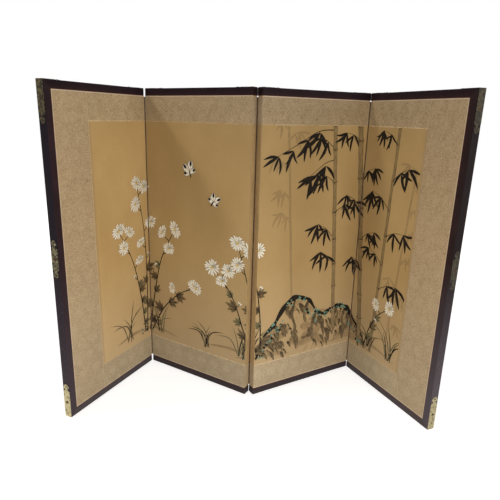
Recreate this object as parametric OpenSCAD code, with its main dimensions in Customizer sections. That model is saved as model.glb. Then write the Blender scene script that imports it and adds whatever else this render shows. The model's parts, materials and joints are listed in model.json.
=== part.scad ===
// Four-panel standing folding screen in the East Asian manner.
// Each panel is a light timber lattice faced with paper and silk, set between lacquered rails.
// Interleaved paper hinges join the panels; brass plates guard the rail ends and the outer stiles.
// Millimetres. +Z is up, the painted faces look towards -Y, and the origin is the middle of the footprint.

/* [Panels] */
// Width of one panel from edge to edge
panel_w = 376; // [300:1:520]
// Height of the lacquered frame
panel_h = 900; // [640:1:1400]
// Thickness of a panel over its frame
panel_t = 25; // [18:0.5:30]
// Clearance kept between the two outer panels when both lie folded against the inner ones
stack_clear = 0.8; // [0.6:0.1:6]

/* [Standing pose] */
// Turn of the two inner panels away from the screen's line
inner_turn = 31.2; // [20:0.1:60]
// Turn of the two outer panels away from the screen's line
outer_turn = 65; // [30:0.1:80]

/* [Lacquered frame] */
// Face width of the rails and stiles
frame_face = 21; // [16:0.5:34]
// Radius on the frame's outer long edges
frame_edge_r = 1.5; // [0.5:0.1:2.5]
// Radius on the frame's inner lips
frame_lip_r = 0.5; // [0.2:0.1:0.6]
// Height of the frame above the silk and above the back paper
frame_proud = 0.8; // [0.7:0.1:1.5]
// Gap between the rail ends at the left fold when the screen lies flat
rail_gap_1 = 6; // [1:0.1:12]
// Gap between the rail ends at the middle fold when the screen lies flat
rail_gap_2 = 1.2; // [1:0.1:12]
// Gap between the rail ends at the right fold when the screen lies flat
rail_gap_3 = 1.2; // [1:0.1:12]
// Thickness of the hidden tenon in each frame corner
corner_tenon_t = 6; // [3:0.5:8]
// Side of the hidden tenon along the rail's face
corner_tenon_w = 8; // [5:0.5:10]
// Wood left at each end of that tenon, under the outer edge and beside the silk
corner_tenon_cover = 4; // [2:0.5:6]

/* [Timber core] */
// Width of the core's edge members
core_member = 20; // [14:1:30]
// Width of a lattice bar
bar_w = 9; // [6:0.5:14]
// Pitch wanted between lattice bars
lattice_pitch = 70; // [50:1:120]
// Length of the stub tenons on the lattice bars
stub_len = 6; // [3:0.5:10]

/* [Papers and silks] */
// Thickness of the paper lining over the lattice
lining_t = 1; // [0.8:0.1:1.4]
// Thickness of the silk, the brocade and the back paper
facing_t = 0.5; // [0.3:0.1:0.8]
// Thickness of the narrow fillet round the picture
fillet_t = 0.7; // [0.4:0.1:1]
// Width of the fillet above and below the picture
fillet_w = 3; // [2:0.5:8]
// Width of the fillet beside the picture
side_fillet_w = 7; // [3:0.5:14]
// Brocade above the picture
border_top = 71; // [30:1:110]
// Brocade below the picture
border_bottom = 76; // [40:1:140]
// Brocade beside the picture on the outer panels
border_side = 117; // [60:1:200]

/* [Paper hinges] */
// Gap between two panels' edges when the screen lies flat
fold_gap = 3; // [2:0.1:4]
// Distance from the frame's face to the crease line
fold_play = 0.3; // [0.2:0.05:0.6]
// Number of interleaved straps in one fold
strap_count = 5; // [3:1:9]
// Thickness of the strap paper
strap_t = 0.6; // [0.3:0.05:0.7]
// Width of the strap glued under a facing
strap_leaf = 20; // [12:1:30]
// Slit between neighbouring straps
strap_slit = 0.8; // [0.4:0.1:2]
// Open length between a rail and the first strap
strap_end_gap = 3; // [1:0.5:6]
// Clearance between a rounded crease and the paper that it passes
crease_clear = 0.2; // [0.1:0.05:0.4]

/* [Brass plates] */
// Thickness of the plates
plate_t = 0.8; // [0.5:0.1:1]
// Margin of frame left on each side of a plate
plate_margin = 1.5; // [1:0.1:4]
// Whole length of a plate on a rail end
rail_plate_len = 60; // [45:1:90]
// Whole length of the upright leg of a corner plate
corner_plate_len = 101; // [70:1:150]
// Whole length of the plate half way up an outer stile
side_plate_len = 102; // [80:1:150]
// Height of the middle of that plate above the frame's foot
side_plate_z = 463; // [400:1:600]
// Radius of the round head of the trefoil at a plate's tip
lobe_r = 7; // [3.5:0.1:8]
// Radius of the trefoil's two side lobes
side_lobe_r = 4.5; // [1.5:0.1:5]
// Width of the neck between the plate and its trefoil
neck_w = 7; // [3:0.1:9]
// Width of the trefoil across its side lobes
trefoil_w = 19; // [10:0.5:20]
// Shank radius of the brass nails
nail_r = 0.8; // [0.6:0.05:1]
// Length of a nail in the wood
nail_len = 7; // [4:0.5:10]
// Radius of a nail's head
nail_head_r = 2.6; // [1.6:0.1:3]
// Height of a domed nail head
nail_head_h = 1.3; // [0.8:0.1:1.5]
// Clearance round a nail in its hole
nail_clear = 0.05; // [0.03:0.01:0.1]

/* [Hidden] */
$fn = 48;
panels = [1, 2, 3, 4];
folds = [1, 2, 3];
panel_parts = ["core_frame", "core_lattice", "front_lining", "back_cover", "brocade_border",
               "picture_fillet", "picture_silk", "top_rail", "bottom_rail", "rail_end_plates", "nails"];

LACQUER = [0.17, 0.11, 0.13];
BRASS = [0.68, 0.62, 0.42];
CEDAR = [0.80, 0.66, 0.46];
PAPER = [0.90, 0.86, 0.76];
BACKING = [0.42, 0.40, 0.30];
BROCADE = [0.66, 0.58, 0.44];
SILK = [0.67, 0.55, 0.36];
GILT = [0.78, 0.68, 0.46];
CREASE = [0.34, 0.20, 0.13];

// The layers through a panel, counted from the front face of its frame
facing_y = frame_proud;
lining_y = facing_y + facing_t;
core_y = lining_y + lining_t;
core_t = panel_t - 2 * core_y;
lap_y = core_y + core_t / 2;
tenon_t = core_t / 3;
// Creases, and how much narrower each outer panel is, so that its side nails clear the fold
crease_r = fold_gap / 2 - crease_clear;
outer_trim = max(0, plate_t + nail_head_h + stack_clear / 2 - fold_gap / 2);
// The upright extent of everything between the rails
inner_z0 = frame_face;
inner_z1 = panel_h - frame_face;
picture_z0 = inner_z0 + border_bottom + fillet_w;
picture_z1 = inner_z1 - border_top - fillet_w;
// Plates
plate_w = panel_t - 2 * plate_margin;
shoulder = (plate_w - neck_w) / 2;
lobe_reach = shoulder + 2 * lobe_r;
// Straps
strap_h = (inner_z1 - inner_z0 - 2 * strap_end_gap - (strap_count - 1) * strap_slit) / strap_count;
// How far a cutting shape runs past what it cuts
over = 1;

// ---- Where each panel lies -------------------------------------------------------------

function is_outer(i) = i == 1 || i == 4;
function is_ridge(k) = k == 2;
function heading(i) = (i == 1) ? outer_turn : (i == 2) ? -inner_turn : (i == 3) ? inner_turn : -outer_turn;
// Left and right edges of the frame, and of what lies inside it
function frame_x0(i) = i == 1 ? outer_trim : 0;
function frame_x1(i) = i == 4 ? panel_w - outer_trim : panel_w;
function inner_x0(i) = i == 1 ? frame_x0(i) + frame_face : 0;
function inner_x1(i) = i == 4 ? frame_x1(i) - frame_face : panel_w;
function picture_x0(i) = i == 1 ? inner_x0(i) + border_side + side_fillet_w : 0;
function picture_x1(i) = i == 4 ? inner_x1(i) - border_side - side_fillet_w : panel_w;
rail_gaps = [rail_gap_1, rail_gap_2, rail_gap_3];
function rail_x0(i) = i == 1 ? frame_x0(i) : (rail_gaps[i - 2] - fold_gap) / 2;
function rail_x1(i) = i == 4 ? frame_x1(i) : panel_w - (rail_gaps[i - 1] - fold_gap) / 2;

// Crease line k in the frame of the panel on its left (k) or on its right (k + 1)
function crease_y(k) = is_ridge(k) ? panel_t + fold_play : -fold_play;
function crease_in_left(k) = [panel_w + fold_gap / 2, crease_y(k)];
function crease_in_right(k) = [-fold_gap / 2, crease_y(k)];
function turned(p, a) = [p.x * cos(a) - p.y * sin(a), p.x * sin(a) + p.y * cos(a)];

// Panel corners and crease lines in plan, first with the middle crease at zero
raw_corner_2 = -turned(crease_in_left(2), heading(2));
raw_corner_3 = -turned(crease_in_right(2), heading(3));
raw_crease_1 = raw_corner_2 + turned(crease_in_right(1), heading(2));
raw_crease_3 = raw_corner_3 + turned(crease_in_left(3), heading(3));
raw_corner_1 = raw_crease_1 - turned(crease_in_left(1), heading(1));
raw_corner_4 = raw_crease_3 - turned(crease_in_right(3), heading(4));
raw_corners = [raw_corner_1, raw_corner_2, raw_corner_3, raw_corner_4];

// The points of a panel's plan that can reach furthest out
function strap_edge(front) = front ? lining_y : panel_t - lining_y;
function plan_points(i) = concat(
    [for (y = [0, panel_t]) for (x = [rail_x0(i), rail_x1(i)]) [x, y]],
    [for (y = [plate_margin, panel_t - plate_margin]) if (is_outer(i))
        [i == 1 ? frame_x0(i) - plate_t - nail_head_h : frame_x1(i) + plate_t + nail_head_h,
         panel_t / 2]],
    [for (y = [plate_margin, panel_t - plate_margin]) if (is_outer(i))
        [i == 1 ? frame_x0(i) - plate_t : frame_x1(i) + plate_t, y]],
    [for (front = [true, false]) if (i != 4) [panel_w + strap_t, strap_edge(front)]],
    [for (front = [true, false]) if (i != 1) [-strap_t, strap_edge(front)]]);
reach = [for (i = panels) for (p = plan_points(i)) raw_corners[i - 1] + turned(p, heading(i))];
reach_x = [for (p = reach) p.x];
reach_y = [for (p = reach) p.y];
middle = [(min(reach_x) + max(reach_x)) / 2, (min(reach_y) + max(reach_y)) / 2];
corners = [for (c = raw_corners) c - middle];
crease_lines = [raw_crease_1 - middle, -middle, raw_crease_3 - middle];

// A panel's own frame: X across from its left edge, Y from the front of its frame to the back, Z up
module in_panel(i) {
    translate([corners[i - 1].x, corners[i - 1].y, plate_t])
        rotate([0, 0, heading(i)])
            children();
}

// ---- Small shapes ----------------------------------------------------------------------

// A box between two opposite corners
module block(low, high) {
    translate(low)
        cube(high - low);
}

// A sheet of a panel's facing, between two edges, two heights and two depths
module sheet(x0, x1, z0, z1, y0, y1) {
    block([x0, y0, z0], [x1, y1, z1]);
}

// ---- Lacquered frame -------------------------------------------------------------------

// Section of a frame bar: depth across, face up, rounded outside at the foot and lipped inside
module frame_section() {
    outer = frame_edge_r;
    lip = frame_lip_r;
    translate([outer, 0])
        square([panel_t - 2 * outer, outer]);
    translate([0, outer])
        square([panel_t, frame_face - outer - lip]);
    translate([lip, frame_face - lip])
        square([panel_t - 2 * lip, lip]);
    for (y = [outer, panel_t - outer])
        translate([y, outer])
            circle(r = outer);
    for (y = [lip, panel_t - lip])
        translate([y, frame_face - lip])
            circle(r = lip);
}

// A bar along +X, its outer edge at z = 0
module frame_bar(length) {
    rotate([90, 0, 90])
        linear_extrude(length)
            frame_section();
}

// Everything on one side of the mitre that starts at an outer corner; slope is 1 or -1
module mitre_prism(points) {
    translate([0, panel_t + over, 0])
        rotate([90, 0, 0])
            linear_extrude(panel_t + 2 * over)
                polygon(points);
}

// Hidden tenon that carries a mitred corner, long enough to cross the mitre
module corner_tenon(i, z) {
    x = i == 1 ? frame_x0(i) + frame_face / 2 : frame_x1(i) - frame_face / 2;
    half = [frame_face / 2 - corner_tenon_cover, corner_tenon_t / 2, corner_tenon_w / 2];
    block([x, panel_t / 2, z] - half, [x, panel_t / 2, z] + half);
}

// A rail before its holes; level 0 is the foot and level 1 the top
module rail(i, level) {
    x0 = rail_x0(i);
    x1 = rail_x1(i);
    far = i == 1 ? [frame_face, 0] : i == 4 ? [0, frame_face] : [0, 0];
    flip = level == 1 ? 1 : 0;
    z = level * panel_h;
    inward = level == 1 ? -frame_face : frame_face;
    intersection() {
        translate([x0, 0, z])
            mirror([0, 0, flip])
                frame_bar(x1 - x0);
        mitre_prism([[x0, z], [x1, z], [x1 - far[1], z + inward], [x0 + far[0], z + inward]]);
    }
    if (is_outer(i))
        corner_tenon(i, z + inward / 2);
}

module stile(i) {
    left = i == 1;
    edge = left ? frame_x0(i) : frame_x1(i);
    inner = left ? edge + frame_face : edge - frame_face;
    difference() {
        intersection() {
            translate([edge, 0, 0])
                mirror([left ? 0 : 1, 0, 0])
                    mirror([1, 0, -1])
                        frame_bar(panel_h);
            mitre_prism([[edge, 0], [edge, panel_h], [inner, panel_h - frame_face], [inner, frame_face]]);
        }
        corner_tenon(i, frame_face / 2);
        corner_tenon(i, panel_h - frame_face / 2);
        in_wood_bores(i);
    }
}

module lacquered_rail(i, level) {
    color(LACQUER)
        in_panel(i)
            difference() {
                rail(i, level);
                in_wood_bores(i);
            }
}

module lacquered_stile(i) {
    color(LACQUER)
        in_panel(i)
            stile(i);
}

// ---- Timber core -----------------------------------------------------------------------

function core_x0(i) = inner_x0(i) + core_member;
function core_x1(i) = inner_x1(i) - core_member;
core_z0 = inner_z0 + core_member;
core_z1 = inner_z1 - core_member;
// Centres of evenly spaced bars between two members
function spread(low, high) = let (cells = round((high - low) / lattice_pitch))
    [for (n = [1 : 1 : cells - 1]) low + (high - low) * n / cells];
function bar_xs(i) = spread(core_x0(i), core_x1(i));
bar_zs = spread(core_z0, core_z1);
tenon_y = [core_y + tenon_t, core_y + 2 * tenon_t];

// Stub tenons of all the lattice bars, which are also the mortises that hold them
module stub_tenons(i) {
    for (x = bar_xs(i))
        block([x - bar_w / 2, tenon_y[0], core_z0 - stub_len], [x + bar_w / 2, tenon_y[1], core_z1 + stub_len]);
    for (z = bar_zs)
        block([core_x0(i) - stub_len, tenon_y[0], z - bar_w / 2], [core_x1(i) + stub_len, tenon_y[1], z + bar_w / 2]);
}

// Tongues of the two cross members, let through the uprights
module corner_tongues(i) {
    for (z = [inner_z0, core_z1])
        block([inner_x0(i), tenon_y[0], z], [inner_x1(i), tenon_y[1], z + core_member]);
}

module core_frame(i) {
    color(CEDAR)
        in_panel(i) {
            difference() {
                for (x = [inner_x0(i), core_x1(i)])
                    block([x, core_y, inner_z0], [x + core_member, core_y + core_t, inner_z1]);
                corner_tongues(i);
                stub_tenons(i);
            }
            difference() {
                union() {
                    for (z = [inner_z0, core_z1])
                        block([core_x0(i), core_y, z], [core_x1(i), core_y + core_t, z + core_member]);
                    corner_tongues(i);
                }
                stub_tenons(i);
            }
        }
}

// An upright bar, notched behind where the cross bars pass
module upright_bar(x) {
    difference() {
        union() {
            block([x - bar_w / 2, core_y, core_z0], [x + bar_w / 2, core_y + core_t, core_z1]);
            block([x - bar_w / 2, tenon_y[0], core_z0 - stub_len],
                  [x + bar_w / 2, tenon_y[1], core_z1 + stub_len]);
        }
        for (z = bar_zs)
            block([x - bar_w, lap_y, z - bar_w / 2], [x + bar_w, core_y + core_t + over, z + bar_w / 2]);
    }
}

// A cross bar, notched in front where the uprights pass
module cross_bar(i, z) {
    difference() {
        union() {
            block([core_x0(i), core_y, z - bar_w / 2], [core_x1(i), core_y + core_t, z + bar_w / 2]);
            block([core_x0(i) - stub_len, tenon_y[0], z - bar_w / 2],
                  [core_x1(i) + stub_len, tenon_y[1], z + bar_w / 2]);
        }
        for (x = bar_xs(i))
            block([x - bar_w / 2, core_y - over, z - bar_w], [x + bar_w / 2, lap_y, z + bar_w]);
    }
}

module core_lattice(i) {
    color(CEDAR)
        in_panel(i) {
            for (x = bar_xs(i))
                upright_bar(x);
            for (z = bar_zs)
                cross_bar(i, z);
        }
}

// ---- Papers and silks ------------------------------------------------------------------

module front_lining(i) {
    color(PAPER)
        in_panel(i)
            difference() {
                sheet(inner_x0(i), inner_x1(i), inner_z0, inner_z1, lining_y, core_y);
                strap_pockets(i);
            }
}

module back_cover(i) {
    color(BACKING)
        in_panel(i)
            difference() {
                sheet(inner_x0(i), inner_x1(i), inner_z0, inner_z1, panel_t - core_y, panel_t - facing_y);
                strap_pockets(i);
            }
}

// Bands above and below the picture, and the full-height strip beside it on an outer panel
module brocade_border(i) {
    band_x0 = i == 1 ? inner_x0(i) + border_side : inner_x0(i);
    band_x1 = i == 4 ? inner_x1(i) - border_side : inner_x1(i);
    color(BROCADE)
        in_panel(i) {
            sheet(band_x0, band_x1, inner_z0, inner_z0 + border_bottom, facing_y, lining_y);
            sheet(band_x0, band_x1, inner_z1 - border_top, inner_z1, facing_y, lining_y);
            if (i == 1)
                sheet(inner_x0(i), band_x0, inner_z0, inner_z1, facing_y, lining_y);
            if (i == 4)
                sheet(band_x1, inner_x1(i), inner_z0, inner_z1, facing_y, lining_y);
        }
}

module picture_fillet(i) {
    y0 = lining_y - fillet_t;
    color(GILT)
        in_panel(i) {
            for (z = [picture_z0 - fillet_w, picture_z1])
                sheet(picture_x0(i), picture_x1(i), z, z + fillet_w, y0, lining_y);
            if (is_outer(i)) {
                x = i == 1 ? picture_x0(i) - side_fillet_w : picture_x1(i);
                sheet(x, x + side_fillet_w, picture_z0 - fillet_w, picture_z1 + fillet_w, y0, lining_y);
            }
        }
}

module picture_silk(i) {
    color(SILK)
        in_panel(i)
            sheet(picture_x0(i), picture_x1(i), picture_z0, picture_z1, facing_y, lining_y);
}

// ---- Paper hinges ----------------------------------------------------------------------

function strap_z(j) = inner_z0 + strap_end_gap + j * (strap_h + strap_slit);

// Carries a hinge half, drawn for the panel on the left of a crease that closes forwards,
// to crease k as seen from panel i
module at_crease(i, k) {
    on_left = i == k;
    place = on_left ? crease_in_left(k) : crease_in_right(k);
    translate([place.x, place.y, 0])
        mirror([on_left ? 0 : 1, 0, 0])
            mirror([0, is_ridge(k) ? 1 : 0, 0])
                children();
}

// Depths below the crease line of the two layers that the strap paper lies in
edge_x = -fold_gap / 2;
near_leaf_y = fold_play + lining_y;
far_leaf_y = fold_play + panel_t - lining_y;

// Leaf under the facing next to the crease
module near_leaf(z) {
    block([edge_x - strap_leaf, near_leaf_y, z], [edge_x, near_leaf_y + strap_t, z + strap_h]);
}

// Leaf under the facing on the far side
module far_leaf(z) {
    block([edge_x - strap_leaf, far_leaf_y - strap_t, z], [edge_x, far_leaf_y, z + strap_h]);
}

// Strap whose crease rides on this panel: crease, edge web and far leaf
module wrapped_strap(z) {
    far_leaf(z);
    block([edge_x, 0, z], [edge_x + strap_t, far_leaf_y, z + strap_h]);
    translate([0, 0, z])
        cylinder(r = crease_r, h = strap_h);
}

// Strap whose crease rides on the other panel: near leaf and the lap over this panel's edge
module passing_strap(z) {
    near_leaf(z);
    block([edge_x, crease_r + crease_clear, z], [edge_x + strap_t, far_leaf_y, z + strap_h]);
}

module hinge_half(i, k) {
    for (j = [0 : strap_count - 1])
        if ((j + i - k) % 2 == 0)
            wrapped_strap(strap_z(j));
        else
            passing_strap(strap_z(j));
}

module fold_straps(i, k) {
    color(BROCADE)
        in_panel(i)
            at_crease(i, k)
                hinge_half(i, k);
}

// What the leaves of a panel's straps take out of its lining and its back cover
module strap_pockets(i) {
    for (k = folds)
        if (k == i || k == i - 1)
            at_crease(i, k)
                for (j = [0 : strap_count - 1])
                    if ((j + i - k) % 2 == 0)
                        far_leaf(strap_z(j));
                    else
                        near_leaf(strap_z(j));
}

// ---- Brass plates and nails ------------------------------------------------------------

// The tip of a plate beyond its straight part: hollow shoulders, a neck and a trefoil
module plate_tip() {
    difference() {
        translate([0, -plate_w / 2])
            square([shoulder, plate_w]);
        for (side = [-1, 1])
            translate([shoulder, side * plate_w / 2])
                circle(r = shoulder);
    }
    translate([0, -neck_w / 2])
        square([shoulder + lobe_r, neck_w]);
    translate([shoulder + lobe_r, 0])
        circle(r = lobe_r);
    for (side = [-1, 1])
        translate([shoulder + side_lobe_r, side * (trefoil_w / 2 - side_lobe_r)])
            circle(r = side_lobe_r);
}

// Plate of a given whole length along +X from its square end, with holes for its nails
module plate_outline(length, start = 0) {
    translate([start, -plate_w / 2])
        square([length - lobe_reach - start, plate_w]);
    translate([length - lobe_reach, 0])
        plate_tip();
}

function tip_nail(length) = length - lobe_r;
rail_nails = [10, tip_nail(rail_plate_len)];
corner_nails = [corner_plate_len * 0.45, tip_nail(corner_plate_len)];
side_nails = [-tip_nail(side_plate_len / 2), 0, tip_nail(side_plate_len / 2)];

// A plate with domed nails needs shank holes; a foot plate has its nail heads let in flush
module plate(length, nails, flush, start = 0) {
    difference() {
        linear_extrude(plate_t)
            plate_outline(length, start);
        plate_holes(nails, flush);
    }
}

module plate_holes(nails, flush) {
    for (u = nails)
        translate([u, 0, -over])
            cylinder(r = (flush ? nail_head_r : nail_r) + nail_clear, h = plate_t + 2 * over);
}

module domed_nail() {
    cap_r = (nail_head_r * nail_head_r + nail_head_h * nail_head_h) / (2 * nail_head_h);
    translate([0, 0, -nail_len])
        cylinder(r = nail_r, h = nail_len + plate_t + nail_head_h / 2);
    intersection() {
        translate([0, 0, plate_t + nail_head_h - cap_r])
            sphere(r = cap_r);
        translate([0, 0, plate_t])
            cylinder(r = nail_head_r + over, h = nail_head_h + over);
    }
}

module flush_nail() {
    translate([0, 0, -nail_len])
        cylinder(r = nail_r, h = nail_len + plate_t / 2);
    cylinder(r = nail_head_r, h = plate_t);
}

module nail_set(nails, flush) {
    for (u = nails)
        translate([u, 0, 0])
            if (flush)
                flush_nail();
            else
                domed_nail();
}

module nail_bores(nails) {
    for (u = nails)
        translate([u, 0, -nail_len])
            cylinder(r = nail_r + nail_clear, h = nail_len + over);
}

// A spot is [position, first turn, second turn]: a plate's own frame has +X along it and +Z outwards
module at_spot(spot) {
    translate(spot[0])
        rotate(spot[1])
            rotate(spot[2])
                children();
}

upright = [0, 0, 0];
about = [0, 0, 180];
under = [180, 0, 0];
mid_t = panel_t / 2;
// Rail ends beside a fold: the left end of panels 2 to 4 and the right end of panels 1 to 3
function rail_end_spots(i, level) = concat(
    i == 1 ? [] : [[[rail_x0(i), mid_t, level * panel_h], level == 1 ? upright : under, upright]],
    i == 4 ? [] : [[[rail_x1(i), mid_t, level * panel_h], level == 1 ? upright : under, about]]);
// The two legs of a corner plate, on the rail and down the stile
function corner_x(i) = i == 1 ? frame_x0(i) : frame_x1(i);
function rail_leg(i, level) =
    [[corner_x(i), mid_t, level * panel_h], level == 1 ? upright : under, i == 1 ? upright : about];
function stile_leg(i, level) =
    [[corner_x(i), mid_t, level * panel_h], [0, i == 1 ? -90 : 90, 0],
     (i == 1) == (level == 0) ? upright : about];
function side_spot(i) = [[corner_x(i), mid_t, side_plate_z], [0, i == 1 ? -90 : 90, 0], upright];

module rail_end_plates(i) {
    color(BRASS)
        in_panel(i)
            for (level = [0, 1])
                for (spot = rail_end_spots(i, level))
                    at_spot(spot)
                        plate(rail_plate_len, rail_nails, level == 0);
}

// One bent plate: a short leg along the rail and a long one up or down the stile
module corner_plate(i, level) {
    color(BRASS)
        in_panel(i) {
            at_spot(rail_leg(i, level))
                plate(rail_plate_len, [rail_nails[1]], level == 0, -plate_t);
            at_spot(stile_leg(i, level))
                plate(corner_plate_len, corner_nails, false, -plate_t);
        }
}

module side_plate(i) {
    color(BRASS)
        in_panel(i)
            at_spot(side_spot(i))
                difference() {
                    linear_extrude(plate_t)
                        for (turn = [0, 180])
                            rotate(turn)
                                plate_outline(side_plate_len / 2);
                    plate_holes(side_nails, false);
                }
}

// All the nails of a panel: domed ones where the plates show, flush ones under the feet
module nails(i) {
    color(BRASS)
        in_panel(i) {
            for (level = [0, 1]) {
                for (spot = rail_end_spots(i, level))
                    at_spot(spot)
                        nail_set(rail_nails, level == 0);
                if (is_outer(i)) {
                    at_spot(rail_leg(i, level))
                        nail_set([rail_nails[1]], level == 0);
                    at_spot(stile_leg(i, level))
                        nail_set(corner_nails, false);
                }
            }
            if (is_outer(i))
                at_spot(side_spot(i))
                    nail_set(side_nails, false);
        }
}

module in_wood_bores(i) {
    for (level = [0, 1]) {
        for (spot = rail_end_spots(i, level))
            at_spot(spot)
                nail_bores(rail_nails);
        if (is_outer(i)) {
            at_spot(rail_leg(i, level))
                nail_bores([rail_nails[1]]);
            at_spot(stile_leg(i, level))
                nail_bores(corner_nails);
        }
    }
    if (is_outer(i))
        at_spot(side_spot(i))
            nail_bores(side_nails);
}

// ---- The screen ------------------------------------------------------------------------

for (i = panels) {
    core_frame(i);
    core_lattice(i);
    front_lining(i);
    back_cover(i);
    brocade_border(i);
    picture_fillet(i);
    picture_silk(i);
    lacquered_rail(i, 1);
    lacquered_rail(i, 0);
    rail_end_plates(i);
    nails(i);
}
lacquered_stile(1);  // left_stile
lacquered_stile(4);  // right_stile
side_plate(1);  // left_side_plate
side_plate(4);  // right_side_plate
corner_plate(1, 1);  // top_left_corner_plate
corner_plate(1, 0);  // bottom_left_corner_plate
corner_plate(4, 1);  // top_right_corner_plate
corner_plate(4, 0);  // bottom_right_corner_plate
for (k = folds) {
    fold_straps(k, k);
    fold_straps(k + 1, k);
}
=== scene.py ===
# %% [markdown]
# # Dressing a four-panel folding screen
# The screen comes as a packed set of solids: timber cores, papers, lacquered rails, brass plates
# and paper hinges, each riding on the panel that carries it. None of those solids moves or changes
# here. This lesson gives each one its finish, and paints the silk that runs across the panels.
# The painting is real geometry: every brush stroke is a thin film of paint with its own outline.

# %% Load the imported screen
import json
import math
import random

import bmesh
import bpy
from mathutils import Matrix, Vector


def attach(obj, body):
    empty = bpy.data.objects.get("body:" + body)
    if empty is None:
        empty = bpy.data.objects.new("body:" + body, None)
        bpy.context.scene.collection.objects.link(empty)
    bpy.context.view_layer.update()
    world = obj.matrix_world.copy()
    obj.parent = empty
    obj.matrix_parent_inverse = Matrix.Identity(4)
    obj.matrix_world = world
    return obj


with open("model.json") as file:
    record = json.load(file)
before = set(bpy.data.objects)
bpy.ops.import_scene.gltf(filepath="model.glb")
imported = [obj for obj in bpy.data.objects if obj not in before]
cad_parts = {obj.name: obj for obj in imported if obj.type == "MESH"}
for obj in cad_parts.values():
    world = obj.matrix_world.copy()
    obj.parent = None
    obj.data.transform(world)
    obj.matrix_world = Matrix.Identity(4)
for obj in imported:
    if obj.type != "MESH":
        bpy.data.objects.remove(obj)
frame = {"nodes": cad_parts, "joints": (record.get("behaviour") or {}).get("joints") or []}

scene = bpy.context.scene
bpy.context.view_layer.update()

# %% [markdown]
# ## Where each panel stands
# The four panels stand in a zigzag. Each is easiest to think about lying flat: x from its left edge,
# y from its front to its back, z from its foot. One matrix per panel turns those flat numbers into
# the standing pose. A fold's crease line is the joint's own position, so a panel's corner is found by
# walking back from the crease through the turned panel.

# %% Panel sizes and the turn of each panel
PANEL_WIDTH = 0.376
PANEL_DEPTH = 0.025
FOLD_GAP = 0.003
FOLD_PLAY = 0.0003
FOOT = 0.0008                # how far the foot plates lift the panels
FRAME_FACE = 0.021           # how wide the rails and stiles are
FRAME_HEIGHT = 0.900
OUTER_LEFT, OUTER_RIGHT = 0.001, PANEL_WIDTH - 0.001     # the outer faces of the two stiles
SILK_DEPTH = 0.0008
PITCH = PANEL_WIDTH + FOLD_GAP
TURNS = {1: 65.0, 2: -31.2, 3: 31.2, 4: -65.0}
FOLD_OF = {1: 1, 2: 2, 3: 2, 4: 3}     # a fold that each panel hangs on

crease = {int(j["name"][-1]): Vector(j["pos_m"]).to_2d() for j in frame["joints"]}


def crease_in_panel(fold, panel):
    """A fold's crease line in the flat numbers of the panel on its left or on its right."""
    across = PANEL_WIDTH + FOLD_GAP / 2 if fold == panel else -FOLD_GAP / 2
    depth = PANEL_DEPTH + FOLD_PLAY if fold == 2 else -FOLD_PLAY
    return Vector((across, depth))


def place_of(panel):
    """The matrix that stands a flat panel in its place."""
    fold, turn = FOLD_OF[panel], math.radians(TURNS[panel])
    corner = crease[fold] - Matrix.Rotation(turn, 2) @ crease_in_panel(fold, panel)
    return Matrix.Translation((corner.x, corner.y, FOOT)) @ Matrix.Rotation(turn, 4, "Z")


PLACES = {panel: place_of(panel) for panel in TURNS}

# %% [markdown]
# ## The camera
# A view from a pace and a half away with a short lens. The eye is just below the screen's top and
# looks slightly down. The lens is shifted a touch sideways, so that the screen sits right of centre.

# %% Camera
EYE = (-0.0141, -1.3293, 0.8266)
LOOK_DOWN, LOOK_LEFT, ROLL = 15.966, 1.127, 1.310     # degrees
LENS, SENSOR = 34.2072, 36                            # millimetres
SHIFT_ACROSS, SHIFT_UP = 0.022, 0.0048                # shares of the picture's width

camera = bpy.data.objects.new("camera", bpy.data.cameras.new("camera"))
scene.collection.objects.link(camera)
camera.data.sensor_width = SENSOR
camera.data.lens = LENS
camera.data.shift_x, camera.data.shift_y = SHIFT_ACROSS, SHIFT_UP
camera.data.clip_start = 0.02
camera.matrix_world = (Matrix.Translation(EYE)
                       @ Matrix.Rotation(math.radians(LOOK_LEFT), 4, "Z")
                       @ Matrix.Rotation(math.radians(90 - LOOK_DOWN), 4, "X")
                       @ Matrix.Rotation(math.radians(ROLL), 4, "Z"))
scene.camera = camera
print("lens", round(camera.data.lens, 2), "mm")

# %% [markdown]
# ## Colours and nodes
# Every finish, and the floor too, is a small tree of nodes. One helper adds a node and fills its
# sockets in a single call, which keeps a long recipe readable. Colours are written as a screen shows
# them, and made linear for the shader.

# %% Colours and nodes


def rgb(red, green, blue):
    """A colour as it is seen on a screen, from 0 to 255, made linear for the shader."""
    def linear(v):
        v /= 255
        return v / 12.92 if v <= 0.04045 else ((v + 0.055) / 1.055) ** 2.4
    return (linear(red), linear(green), linear(blue), 1)


def plug(tree, node, **sockets):
    """Gives a node's sockets their values, or links them from another node's output."""
    for key, value in sockets.items():
        numbered = key[0] == "i" and key[1:].isdigit()
        target = node.inputs[int(key[1:]) if numbered else key.replace("_", " ")]
        if isinstance(value, bpy.types.NodeSocket):
            tree.links.new(value, target)
        else:
            target.default_value = value
    return node


def add(tree, kind, settings=None, **sockets):
    """Adds a node with its settings and its sockets."""
    made = tree.nodes.new(kind)
    for key, value in (settings or {}).items():
        setattr(made, key, value)
    return plug(tree, made, **sockets)


def math_node(tree, operation, first, second=0.0, clamp=False):
    settings = {"operation": operation, "use_clamp": clamp}
    return add(tree, "ShaderNodeMath", settings, i0=first, i1=second).outputs[0]


print("a mid grey of 128 is", round(rgb(128, 128, 128)[0], 3), "when linear")

# %% [markdown]
# ## Light and floor
# Soft light from all round, low boxes in front that lift the foot of the screen, a broad lamp on the
# right, and a small window high on the left, which throws the left panel's diagonal shade over its
# neighbour. The floor and the far background show white to the camera and in the gloss of the
# lacquer. The floor glows a little less near the screen, so that it still takes the screen's shadow.

# %% Room light
scene.view_settings.view_transform = "Standard"


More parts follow.
